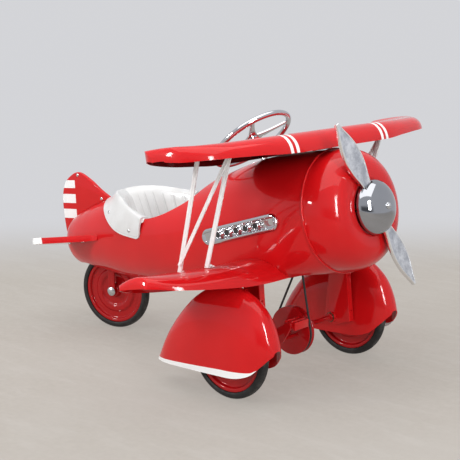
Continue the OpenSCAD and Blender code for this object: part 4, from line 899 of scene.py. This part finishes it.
def exhaust_trim(side):
    name = sided("exhaust_trim", side)
    q = np.sin(np.radians(np.linspace(-90, 90, 91)))[:, None]
    across, height = through(TRIM_RELIEF, 43).T
    m = 1 - TRIM_H/TRIM_LEN
    end = np.sqrt(np.maximum(0.06, 1 - np.maximum(0, (np.abs(q) - m)/(1 - m))**2))
    a, c = trim_place(q, across*end)
    lift = height*mix(0.5, 1, end)
    # the ends rise to a closed rim
    shut = np.clip((np.abs(q) - 0.86)/0.1, 0, 1)
    last = np.sqrt(np.maximum(0, 1 - np.maximum(0, (np.abs(q) - 0.985)/0.015)**2))
    lift = np.maximum(lift, shut*6.0*(1 - np.abs(across)**6))*last
    y = -body_side(a, c) - TRIM_OFF - lift
    points, faces = sheet_parts(np.stack([a + 0*y, y, c], -1), TRIM_WALL)
    settle(solid(name + "_plate", from_air(on_side(points, side)), faces, chrome, sharp=60), name)


# Repeated pieces: one tree stamps a small solid on every place, facing the way the place says

def stamp_tree():
    tree = bpy.data.node_groups.new("stamps", "GeometryNodeTree")
    sockets = [tree.interface.new_socket(name, in_out="INPUT", socket_type="NodeSocket" + kind)
               for name, kind in (("Places", "Geometry"), ("Stamp", "Object"), ("Finish", "Material"))]
    tree.interface.new_socket("Result", in_out="OUTPUT", socket_type="NodeSocketGeometry")
    add = tree.nodes.new
    start, end = add("NodeGroupInput"), add("NodeGroupOutput")
    facing, along = add("GeometryNodeInputNamedAttribute"), add("GeometryNodeInputNamedAttribute")
    for node, name in ((facing, "facing"), (along, "along")):
        node.data_type = "FLOAT_VECTOR"
        node.inputs[0].default_value = name
    stand, turn = add("FunctionNodeAlignRotationToVector"), add("FunctionNodeAlignRotationToVector")
    stand.axis = "Z"
    turn.axis = "X"
    turn.pivot_axis = "Z"
    shape, place = add("GeometryNodeObjectInfo"), add("GeometryNodeInstanceOnPoints")
    real, paint = add("GeometryNodeRealizeInstances"), add("GeometryNodeSetMaterial")
    for source, out, target, into in (
            (facing, "Attribute", stand, "Vector"), (stand, "Rotation", turn, "Rotation"),
            (along, "Attribute", turn, "Vector"), (start, "Stamp", shape, "Object"),
            (start, "Places", place, "Points"), (shape, "Geometry", place, "Instance"),
            (turn, "Rotation", place, "Rotation"), (place, "Instances", real, "Geometry"),
            (real, "Geometry", paint, "Geometry"), (start, "Finish", paint, "Material"),
            (paint, "Geometry", end, "Result")):
        tree.links.new(source.outputs[out], target.inputs[into])
    return tree, sockets[1].identifier, sockets[2].identifier


STAMPS, STAMP_SHAPE, STAMP_FINISH = stamp_tree()


def stamped(name, rows, one, material):
    """One mesh of a small solid repeated at rows of (place, facing, along)."""
    shape = solid(name + "_one", one[0]/1000, one[1], material, STAMP_SHARP)
    mesh = bpy.data.meshes.new(name)
    mesh.from_pydata([tuple(row[0]) for row in rows], [], [])
    for k, key in ((1, "facing"), (2, "along")):
        store = mesh.attributes.new(key, "FLOAT_VECTOR", "POINT")
        store.data.foreach_set("vector", np.array([row[k] for row in rows], np.float32).ravel())
    piece = link(name, mesh, material)
    stamp = piece.modifiers.new("stamps", "NODES")
    stamp.node_group = STAMPS
    stamp[STAMP_SHAPE] = shape
    stamp[STAMP_FINISH] = material
    plain_mesh(piece)
    bpy.data.objects.remove(shape)
    smooth(piece.data, STAMP_SHARP)
    return piece


def turned_z(profile, segments):
    """A turned solid about the third axis."""
    points, faces = lathe_parts(profile, segments)
    return points[:, [1, 2, 0]], faces


def air_way(v):
    """A direction of the air frame in the part's frame."""
    v = from_air([v])[0] - from_air([[0, 0, 0]])[0]
    return v/np.linalg.norm(v)


def exhaust_ports():
    """Five short stubs on each trim, mouths outward, each with a black plug of painted shade inside and a
    tapered fairing ahead of it.
    """
    mouths, fairings = [], []
    for side in (RIGHT, LEFT):
        ahead = air_way([math.cos(TRIM_RISE), 0, math.sin(TRIM_RISE)])
        out = air_way(on_side(np.array([[0.04, -0.99, 0.02]]), side)[0])
        for i in range(-2, 3):
            a, c = trim_place(2*i*PORT_PITCH/TRIM_LEN, 0)
            base = np.array([[a, -float(body_side(a, c)) - 3, c]])
            mouths.append((from_air(on_side(base, side))[0], out, ahead))
            base = base + np.array([[7.5, -0.4, 1]])
            fairings.append((from_air(on_side(base, side))[0], ahead, out))
    tube = rounded([[7, -4], [9.2, -4], [9, 2], [8.4, 8], [7, 8]], 0.6)
    # each stub is filled with a black plug up to just below its lip: painted shade for the dark hole
    bore_shade = [[0.01, -3], [7.1, -3], [7.1, 6.6], [0.01, 6.6]]
    drop = [[0.01, -1], [6.4, -1], [6.4, 4], [5.6, 9], [4, 12.2], [2, 13.8], [0.01, 14.2]]
    for name, rows, profile, finish in (("exhaust_stubs", mouths, tube, chrome),
                                        ("exhaust_bores", mouths, bore_shade, port_shade_black),
                                        ("exhaust_fairings", fairings, drop, chrome)):
        carried(stamped(name, rows, turned_z(profile, 36), finish), "airframe")


def domed(r, foot, shoulder, top, count):
    """The profile of a domed head."""
    fall, rise = quarter(count)
    dome = np.stack([r*fall, mix(shoulder, top, rise)], 1)
    return np.concatenate([[[0.01, foot], [r, foot]], dome[:-1], [[0.01, top]]])


def screw_head(r, h):
    return turned_z(domed(r, -1, 0.35*h, h, 9), 28)


def seat_screws():
    rows = []
    for s, t in ((0.46, 0.30), (0.86, 0.22)):
        for side in (RIGHT, LEFT):
            p, d, e = (apron_point(side*(s + u), t + v) for u, v in ((0, 0), (0, 0.01), (0.01, 0)))
            n = np.cross(d - p, e - p)*side
            n = n/np.linalg.norm(n)
            rows.append((from_air([p + 0.4*n])[0], air_way(n), air_way(d - p)))
    settle(stamped("seat_screw_heads", rows, screw_head(4.5, 2.6), plated_steel), "seat_screws")


def fin_bolts():
    rows = []
    for a, c in ((-783, 184), (-694, 106)):
        for side in (RIGHT, LEFT):
            rows.append((from_air([[a, side*5.1, c]])[0], (0, side, 0), air_way([1, 0, 0])))
    settle(stamped("fin_bolt_heads", rows, screw_head(4.6, 2.1), plated_steel), "fin_bolts")


# Propeller, spinner and its screw

BLADE_WIDTH = [[40, 0.46], [60, 0.5], [78, 0.64], [96, 0.83], [114, 0.96], [132, 1], [150, 0.95], [168, 0.83],
               [185, 0.64], [203, 0.39], [217, 0.22], [225, 0.13]]
BLADE_HALF, BLADE_FROM = 28, 40
BLADE_THICK, BLADE_PITCH = (10.5, 8.5), (-7, -3)
BLADE_LIP, BLADE_RECESS, FIELD_END = 3.2, 0.8, 218


def spun(points, degrees):
    a, y, c = np.moveaxis(np.asarray(points, float), -1, 0)
    return np.stack([a, *turned(y, c, math.radians(degrees))], -1)


def blade_section(w, thick_mm, recess):
    """Half of a blade's section across its front face, as (across, depth, border) rows from edge to edge."""
    t = thick_mm/2
    lip = min(BLADE_LIP, 0.34*w)
    side = [[w, 0, 1], [w, t - 1.1, 1], [w - 0.35, t - 0.35, 1], [w - 1.1, t, 1], [w - lip, t, 1],
            [w - lip - 0.7*min(1, w/6), t - recess, 0], [0.45*(w - lip), t - recess*1.1, 0]]
    return [[-u, v, b] for u, v, b in side] + [[0, t - recess*1.1, 0]] + side[::-1]


def propeller():
    along = mix(BLADE_FROM, PROP_R, quarter(64)[1])
    rows = []
    for r in along:
        w = BLADE_HALF*float(curve(BLADE_WIDTH, r))
        deep = mix(*BLADE_THICK, (r - BLADE_FROM)/(PROP_R - BLADE_FROM))*min(1, (PROP_R - r)/3 + 0.75)
        front = blade_section(w, deep, BLADE_RECESS*min(1, max(0, (FIELD_END - r)/5)))
        rows.append(front[1:] + [[-u, -v, b] for u, v, b in front[1:]])
    loop = np.array(rows)
    size = loop.shape[1]
    pitch = np.radians(mix(*BLADE_PITCH, along/PROP_R))[:, None]
    depth, across = turned(loop[..., 1], loop[..., 0], pitch)
    grid = np.stack([depth, across, along[:, None] + 0*depth], -1)
    faces = grid_faces(*grid.shape[:2], loop=True)
    faces.append(tuple(range(size - 1, -1, -1)))
    faces.append(tuple((len(along) - 1)*size + k for k in range(size)))
    points = grid.reshape(-1, 3)
    both, faces = joined([(spun(points, BLADE_TURN - 90 + k), faces) for k in (0, 180)])
    ahead = np.array([PROP_AT, 0, 0])
    piece = solid("propeller_blades", from_air(both + ahead), faces, cast_blade, sharp=30, merge=1e-9)
    rim = np.maximum(loop[..., 2], np.clip((along[:, None] - FIELD_END)/4 + 1, 0, 1))
    note(piece.data, "border", [rim, rim])
    settle(piece, "propeller")
    hub, faces = lathe_parts(rounded([[8.1, -4], [57, -4], [57, 4], [8.1, 4]], 1), 96)
    carried(solid("propeller_hub", from_air(hub + ahead), faces, plated_steel), "propeller_shaft")


SPINNER_BACK = PROP_AT - 8
SPINNER_R, SPINNER_LEN, SPINNER_POWER = 65, 42, 2.1
SPINNER_HOLE = 3.2
SLOT_HALF = BLADE_HALF*float(curve(BLADE_WIDTH, SPINNER_R)) + 1.5


def spinner():
    fall, rise = quarter(60, SPINNER_POWER)
    dome = np.stack([SPINNER_R*fall, SPINNER_LEN*rise], 1)
    dome[-1, 0] = SPINNER_HOLE
    points, faces = lathe_parts(dome, 240, closed=False)
    points = points + np.array([SPINNER_BACK, 0, 0])

    def keep(p):
        level = spun(p, 90 - BLADE_TURN)
        return np.maximum(np.abs(level[:, 1]) - SLOT_HALF, p[:, 0] - PROP_AT - 10)

    points, faces = clipped(points, faces, keep)
    # the spinner's darker metal paints in dim reflections
    settle(thick("spinner_dome", from_air(points), [f[::-1] for f in faces], 2, spinner_shaded_metal), "spinner")


def spinner_screw():
    """A domed screw on a raised washer."""
    tip = np.array([SPINNER_BACK + SPINNER_LEN, 0, 0])
    washer = rounded([[2.9, -1.6], [8.2, -1.6], [8.2, 0.6], [7.2, 1.5], [2.9, 1.5]], 0.5)
    points, faces = joined([lathe_parts(profile, 48) for profile in (washer, domed(5.2, 1.4, 2.6, 5.2, 10))])
    piece = solid("spinner_screw_head", from_air(points + tip), faces, chrome, sharp=35, merge=1e-8)
    carried(piece, "propeller_shaft")


# Wheels, turned about their axles

TYRE_DEEP, TYRE_ROUND, TYRE_HALF, TYRE_POWER = 16, 13, 12.5, 0.75


def turned_y(profile, middle, turn):
    """A turned solid about a wheel's axle."""
    points, faces = lathe_parts(profile, 128)
    x, y = turned(points[:, 1], points[:, 0], turn)
    return from_ground(np.stack([x, y, points[:, 2]], 1) + np.array(middle)), faces


def wheel(disc, tyre, r, middle, turn=0.0):
    seat_r = r - TYRE_DEEP - 0.3
    half = [[6.05, 15], [17, 15], [21, 2.5], [seat_r - 52, 1.5], [seat_r - 46, 6.5], [seat_r - 34, 6.5],
            [seat_r - 28, 1.5], [seat_r - 12, 1.5], [seat_r - 9, 9], [seat_r, 9]]
    profile = rounded(half + [[p, -q] for p, q in reversed(half)], 2.6, 6)
    # the discs take the darker red: painted shade
    settle(solid(disc + "_pressing", *turned_y(profile, middle, turn), shaded_red_finish, sharp=28), disc)
    t = np.radians(np.linspace(-90, 90, 41))
    crown = np.stack([r - TYRE_ROUND + TYRE_ROUND*np.cos(t)**TYRE_POWER,
                      TYRE_HALF*signed_power(np.sin(t), TYRE_POWER)], 1)
    profile = np.concatenate([[[r - TYRE_DEEP, -11]], crown, [[r - TYRE_DEEP, 11]]])
    piece = solid(tyre + "_ring", *turned_y(profile, middle, turn), rubber, sharp=50)
    x, _, z = (ground_points(piece.data) - np.array(middle)).T
    note(piece.data, "tread", (np.hypot(x, z)/math.cos(turn)**0.5 - r + 6)/6)
    settle(piece, tyre)


def wheels():
    wheel("wheel_disc_right", "tyre_right", FRONT_R, (0, -TRACK/2, FRONT_R))
    wheel("wheel_disc_left", "tyre_left", FRONT_R, (0, TRACK/2, FRONT_R))
    wheel("tail_wheel_disc", "tail_tyre", TAIL_R, (-WHEELBASE, 0, TAIL_R), TAIL_TURN)


# Steering wheel

STEER_R, STEER_RIM_R = 106, 7
STEER_AT = np.array([-133.5, 0, 582.5])
SPOKE_TURNS = (113, 206, 299)
SPOKE_HALF = [[10, 17], [24, 12.5], [42, 8.5], [62, 6.6], [84, 5.8], [96, 6.4], [103, 8.5]]


def steering_wheel():
    down = np.array([math.cos(COLUMN_SLOPE), 0, -math.sin(COLUMN_SLOPE)])
    side = np.array([-math.sin(COLUMN_SLOPE), 0, -math.cos(COLUMN_SLOPE)])

    def placed(points):
        x, y = turned(points[:, 0], points[:, 1], TAIL_TURN)
        return from_ground(STEER_AT + x[:, None]*side + y[:, None]*np.array([0, 1, 0]) + points[:, 2:3]*down)

    t = np.linspace(0, 2*math.pi, 28, endpoint=False)
    rim = np.stack([STEER_R + STEER_RIM_R*np.cos(t), STEER_RIM_R*np.sin(t)], 1)
    hub = rounded([[8.1, -4], [8.1, 16], [18, 16], [18, -5], [13, -8], [0.01, -8], [0.01, -4]], 1.5)
    parts = [turned_z(rim, 160), turned_z(hub, 64)]
    across, deep = rounded([[-1, -2.5], [1, -2.5], [1, 2.5], [-1, 2.5]], 0.6).T
    n, rows = len(across), 20
    out = np.linspace(10, STEER_R - 3, rows)[:, None]
    faces = grid_faces(rows, n, loop=True) + [tuple(range(n)), tuple(range((rows - 1)*n, rows*n))]
    for turn in SPOKE_TURNS:
        x, y = turned(out + 0*across, curve(SPOKE_HALF, out)*across, math.radians(turn))
        parts.append((np.stack([x, y, 0*x + deep], -1).reshape(-1, 3), faces))
    points, faces = joined(parts)
    settle(solid("steering_wheel_rim", placed(points), faces, chrome, merge=1e-8), "steering_wheel")
    boss, faces = turned_z(rounded([[8.4, 5], [18.4, 5], [18.4, 12], [14, 17], [8.4, 17]], 1), 64)
    carried(solid("steering_boss", placed(boss), faces, red_enamel, merge=1e-8), "steering")


# Tail fin and stabilizers: panels with round edges

def panel(name, outline, place, thick_mm, ease, material):
    """A flat panel with rounded edges; place takes (u, v, across) to the part's frame."""
    n = len(outline)
    points = [[u, v, s*thick_mm/2] for s in (-1, 1) for u, v in outline]
    faces = [tuple(range(n - 1, -1, -1)), tuple(range(n, 2*n))]
    faces += [(k, (k + 1) % n, n + (k + 1) % n, n + k) for k in range(n)]
    piece = solid(name, place(np.array(points, float)), faces, material, sharp=30)
    return shaped(piece, "BEVEL", sharp=35, width=ease/1000, segments=5, limit_method="ANGLE",
                  angle_limit=math.radians(50))


FIN_EDGE = [[-655, 104], [-695, 133], [-734, 166], [-780, 192], [-824, 182], [-851, 161], [-868, 123],
            [-874, 70], [-874, 26], [-872, -12]]
FIN_THICK, STAB_THICK = 10, 17
STAB_RISE, STAB_ROOT = math.radians(8), 70


def tail_fin():
    foot_a = np.linspace(-TAIL_AT, -660, 44)
    mid, top = body_lines(foot_a)[:2]
    foot = np.stack([foot_a, mid + top + 0.8], 1)
    outline = np.concatenate([through(FIN_EDGE, 64), [[-TAIL_AT - 0.8, mid[0] - 4]], foot])

    def place(p):
        return from_air(p[:, [0, 2, 1]])

    settle(panel("tail_fin_panel", outline, place, FIN_THICK, 4.2, fin_red), "tail_fin")


def stabilizer(side):
    name = sided("stabilizer", side)
    a = np.linspace(-805, -640, 30)
    root = np.stack([a, -np.max([body_side(a, c) for c in (-14, 0, 14)], axis=0) - 1.2], 1)
    outer = [root[-1], [-664, -96], [-690, -122], [-722, -160], [-744, -186], [-754, -200], [-766, -207],
             [-780, -206], [-790, -196]]
    outline = np.concatenate([root, through(outer, 60)[1:], [mix(np.array(outer[-1]), root[0], 0.5)]])

    def place(p):
        y, c = turned(p[:, 1] + STAB_ROOT, p[:, 2], -STAB_RISE)
        return from_air(on_side(np.stack([p[:, 0], y - STAB_ROOT, c], 1), side))

    settle(panel(name + "_panel", outline, place, STAB_THICK, 7, stabilizer_red), name)


# Pieces made anew

fuselage()
cowl()
for side in (RIGHT, LEFT):
    for outer in (True, False):
        pant_half(side, outer)
    lower_wing(side)
    exhaust_trim(side)
    stabilizer(side)
upper_wing()
seat()
seat_screws()
exhaust_ports()
propeller()
spinner()
spinner_screw()
wheels()
steering_wheel()
tail_fin()
fin_bolts()

# Pieces whose solids already have the form, by the ease of their edges

EASES = {
    0: "drive_belt",
    0.3: "shaft_bushes axle_bushes",
    0.4: "prop_shaft",
    0.5: "strut_rivets strut_bolts steering_column drag_link",
    0.6: "nose_bulkhead chassis_beam stabilizer_bolts column_bracket crank_right crank_left crank_pulley "
         "prop_pulley tail_axle",
    0.7: "front_strut_right front_strut_left rear_strut_right rear_strut_left diagonal_strut_right "
         "diagonal_strut_left",
    0.8: "shaft_bracket leg_right leg_left cabane_front cabane_rear tail_bracket hub_nuts spinner_screw "
         "tail_fork",
    1.5: "pedal_right pedal_left"}
for ease, nodes in EASES.items():
    for node in nodes.split():
        dress(node, ease)


# Studio: the floor, the lamps and what the gloss sees, about the photo's camera

VIEW_TURN = math.radians(42.334)
VIEW_TILT = math.radians(11.226)
VIEW_ROLL = math.radians(-0.385)
EYE = Vector((1.728 + AXLE_X/1000, -2.127, 0.913))
FOCUS_PIXELS, IMAGE_PIXELS, SENSOR = 1136, 460, 36
BACKDROP = (0.655, 0.66, 0.685)
FLOOR_GLOW, FLOOR_HALF = 1.9, 60
SCREEN_FAR, SCREEN_HALF, SCREEN_TALL = 8, 9, 4


def room():
    """A wide floor, concrete about the object and running out into the backdrop's tone."""
    made = Finish("room", specular_ior_level=0.0, emission_strength=FLOOR_GLOW)
    x, y, _ = made.axes()
    reach = (y - EYE.y)*math.cos(VIEW_TURN) - (x - EYE.x)*math.sin(VIEW_TURN)
    far = made.ramp(reach, 3.72, 4.9).largest(made.ramp(x*x + y*y, 9, 40))
    trowel = made.ramp(made.noise(5, 6, 0.7, (1, 4, 1)), 0.45, 0.75)
    concrete = made.blend(0.5*made.grain(60, 6, rough=0.6), (0.162, 0.150, 0.136), (0.182, 0.169, 0.154))
    concrete = made.blend(0.6*made.grain(1.6, 5, rough=0.6), concrete, (0.182, 0.171, 0.158))
    concrete = made.blend(0.3*trowel, concrete, (0.205, 0.196, 0.185))
    made.set("Emission Color", made.blend(far, concrete, dimmed(BACKDROP, 1/FLOOR_GLOW)))
    made.done(made.blend(far, concrete, (0, 0, 0)), made.grain(20, 5, (0.5, 0.75)),
              made.noise(260, 4)*(1 - far), 0.05, 0.001)
    corners = FLOOR_HALF*np.array([[-1, -1, 0], [1, -1, 0], [1, 1, 0], [-1, 1, 0]], float)
    solid("room", corners, [(0, 1, 2, 3)], made.material, recalc=False)


def lamp(name, place, target, size, power, colour=(1, 1, 1), seen_in="both"):
    light = bpy.data.lights.new(name, "AREA")
    light.shape = "RECTANGLE"
    light.size, light.size_y = size
    light.energy = power
    light.color = colour
    holder = bpy.data.objects.new(name, light)
    holder.location = place
    holder.rotation_euler = (Vector(place) - Vector(target)).to_track_quat("Z", "Y").to_euler()
    holder.visible_diffuse = seen_in in ("both", "diffuse")
    holder.visible_glossy = seen_in in ("both", "glossy")
    bpy.context.scene.collection.objects.link(holder)


def studio():
    """Pale all round and a little brighter overhead."""
    made = Finish("studio_maths")
    world = bpy.data.worlds.new("studio")
    world.use_nodes = True
    made.tree = world.node_tree
    shade = made.tree.nodes["Background"]
    way = made.out("ShaderNodeTexCoord", "Generated")
    apart = made.node("ShaderNodeSeparateXYZ", None, {0: way})
    up = made.ramp(Wire(made, apart.outputs[2]), 0.0, 0.6)
    light = made.blend(up, BACKDROP, (0.66, 0.67, 0.70))
    made.tree.links.new(light.socket, shade.inputs[0])
    bpy.context.scene.world = world
    bpy.data.materials.remove(made.material)


def dark_screen():
    """The darker end of the studio, far behind the photo's camera, seen in gloss and chrome alone."""
    toward = np.array([math.sin(VIEW_TURN), -math.cos(VIEW_TURN), 0])
    across = np.array([math.cos(VIEW_TURN), math.sin(VIEW_TURN), 0])
    corners = [SCREEN_FAR*toward + w*SCREEN_HALF*across + np.array([0, 0, h*SCREEN_TALL])
               for w, h in ((-1, 0), (1, 0), (1, 1), (-1, 1))]
    made = Finish("dark_screen", specular_ior_level=0.0, emission_strength=1.0, roughness=1.0)
    x, y, z = made.axes()
    aside = abs(x*math.cos(VIEW_TURN) + y*math.sin(VIEW_TURN))
    open_end = made.ramp(aside, 3.5, 8.5).largest(made.ramp(z, 1.5, 3.6))
    made.set("Base Color", (0, 0, 0))
    made.set("Emission Color", made.blend(open_end, (0.12, 0.122, 0.13), BACKDROP))
    screen = solid("dark_screen", np.array(corners), [(0, 1, 2, 3)], made.material, recalc=False)
    for ray in ("camera", "diffuse", "transmission", "volume_scatter", "shadow"):
        setattr(screen, "visible_" + ray, False)


room()
lamp("overhead", (0.3, -0.4, 3.3), (0, 0, 0.3), (4.6, 3.6), 88, (1.0, 0.99, 0.97))
lamp("fill", (1.6, -3.0, 1.5), (-0.1, 0, 0.35), (2.0, 1.4), 14, seen_in="diffuse")
lamp("left_window", (-1.7, -3.3, 1.9), (-0.2, 0, 0.4), (0.5, 1.0), 48)
lamp("right_window", (3.5, -1.5, 1.6), (0.2, 0, 0.4), (0.35, 1.2), 40, (0.98, 0.99, 1.0))
lamp("left_glow", (-1.75, -3.4, 2.0), (-0.2, 0, 0.4), (0.7, 1.3), 60, seen_in="glossy")
lamp("right_glow", (3.6, -1.55, 1.65), (0.2, 0, 0.4), (0.8, 1.9), 110, seen_in="glossy")
studio()
dark_screen()

# Camera at the photo's place

camera = bpy.data.objects.new("photo_camera", bpy.data.cameras.new("photo_camera"))
bpy.context.scene.collection.objects.link(camera)
turns = ((VIEW_TURN, "Z"), (math.pi/2 - VIEW_TILT, "X"), (VIEW_ROLL, "Z"))
aim = Matrix.Translation(EYE)
for angle, axis in turns:
    aim = aim @ Matrix.Rotation(angle, 4, axis)
camera.matrix_world = aim
camera.data.sensor_width = SENSOR
camera.data.lens = SENSOR*FOCUS_PIXELS/IMAGE_PIXELS
bpy.context.scene.camera = camera
bpy.context.scene.view_settings.view_transform = "Standard"
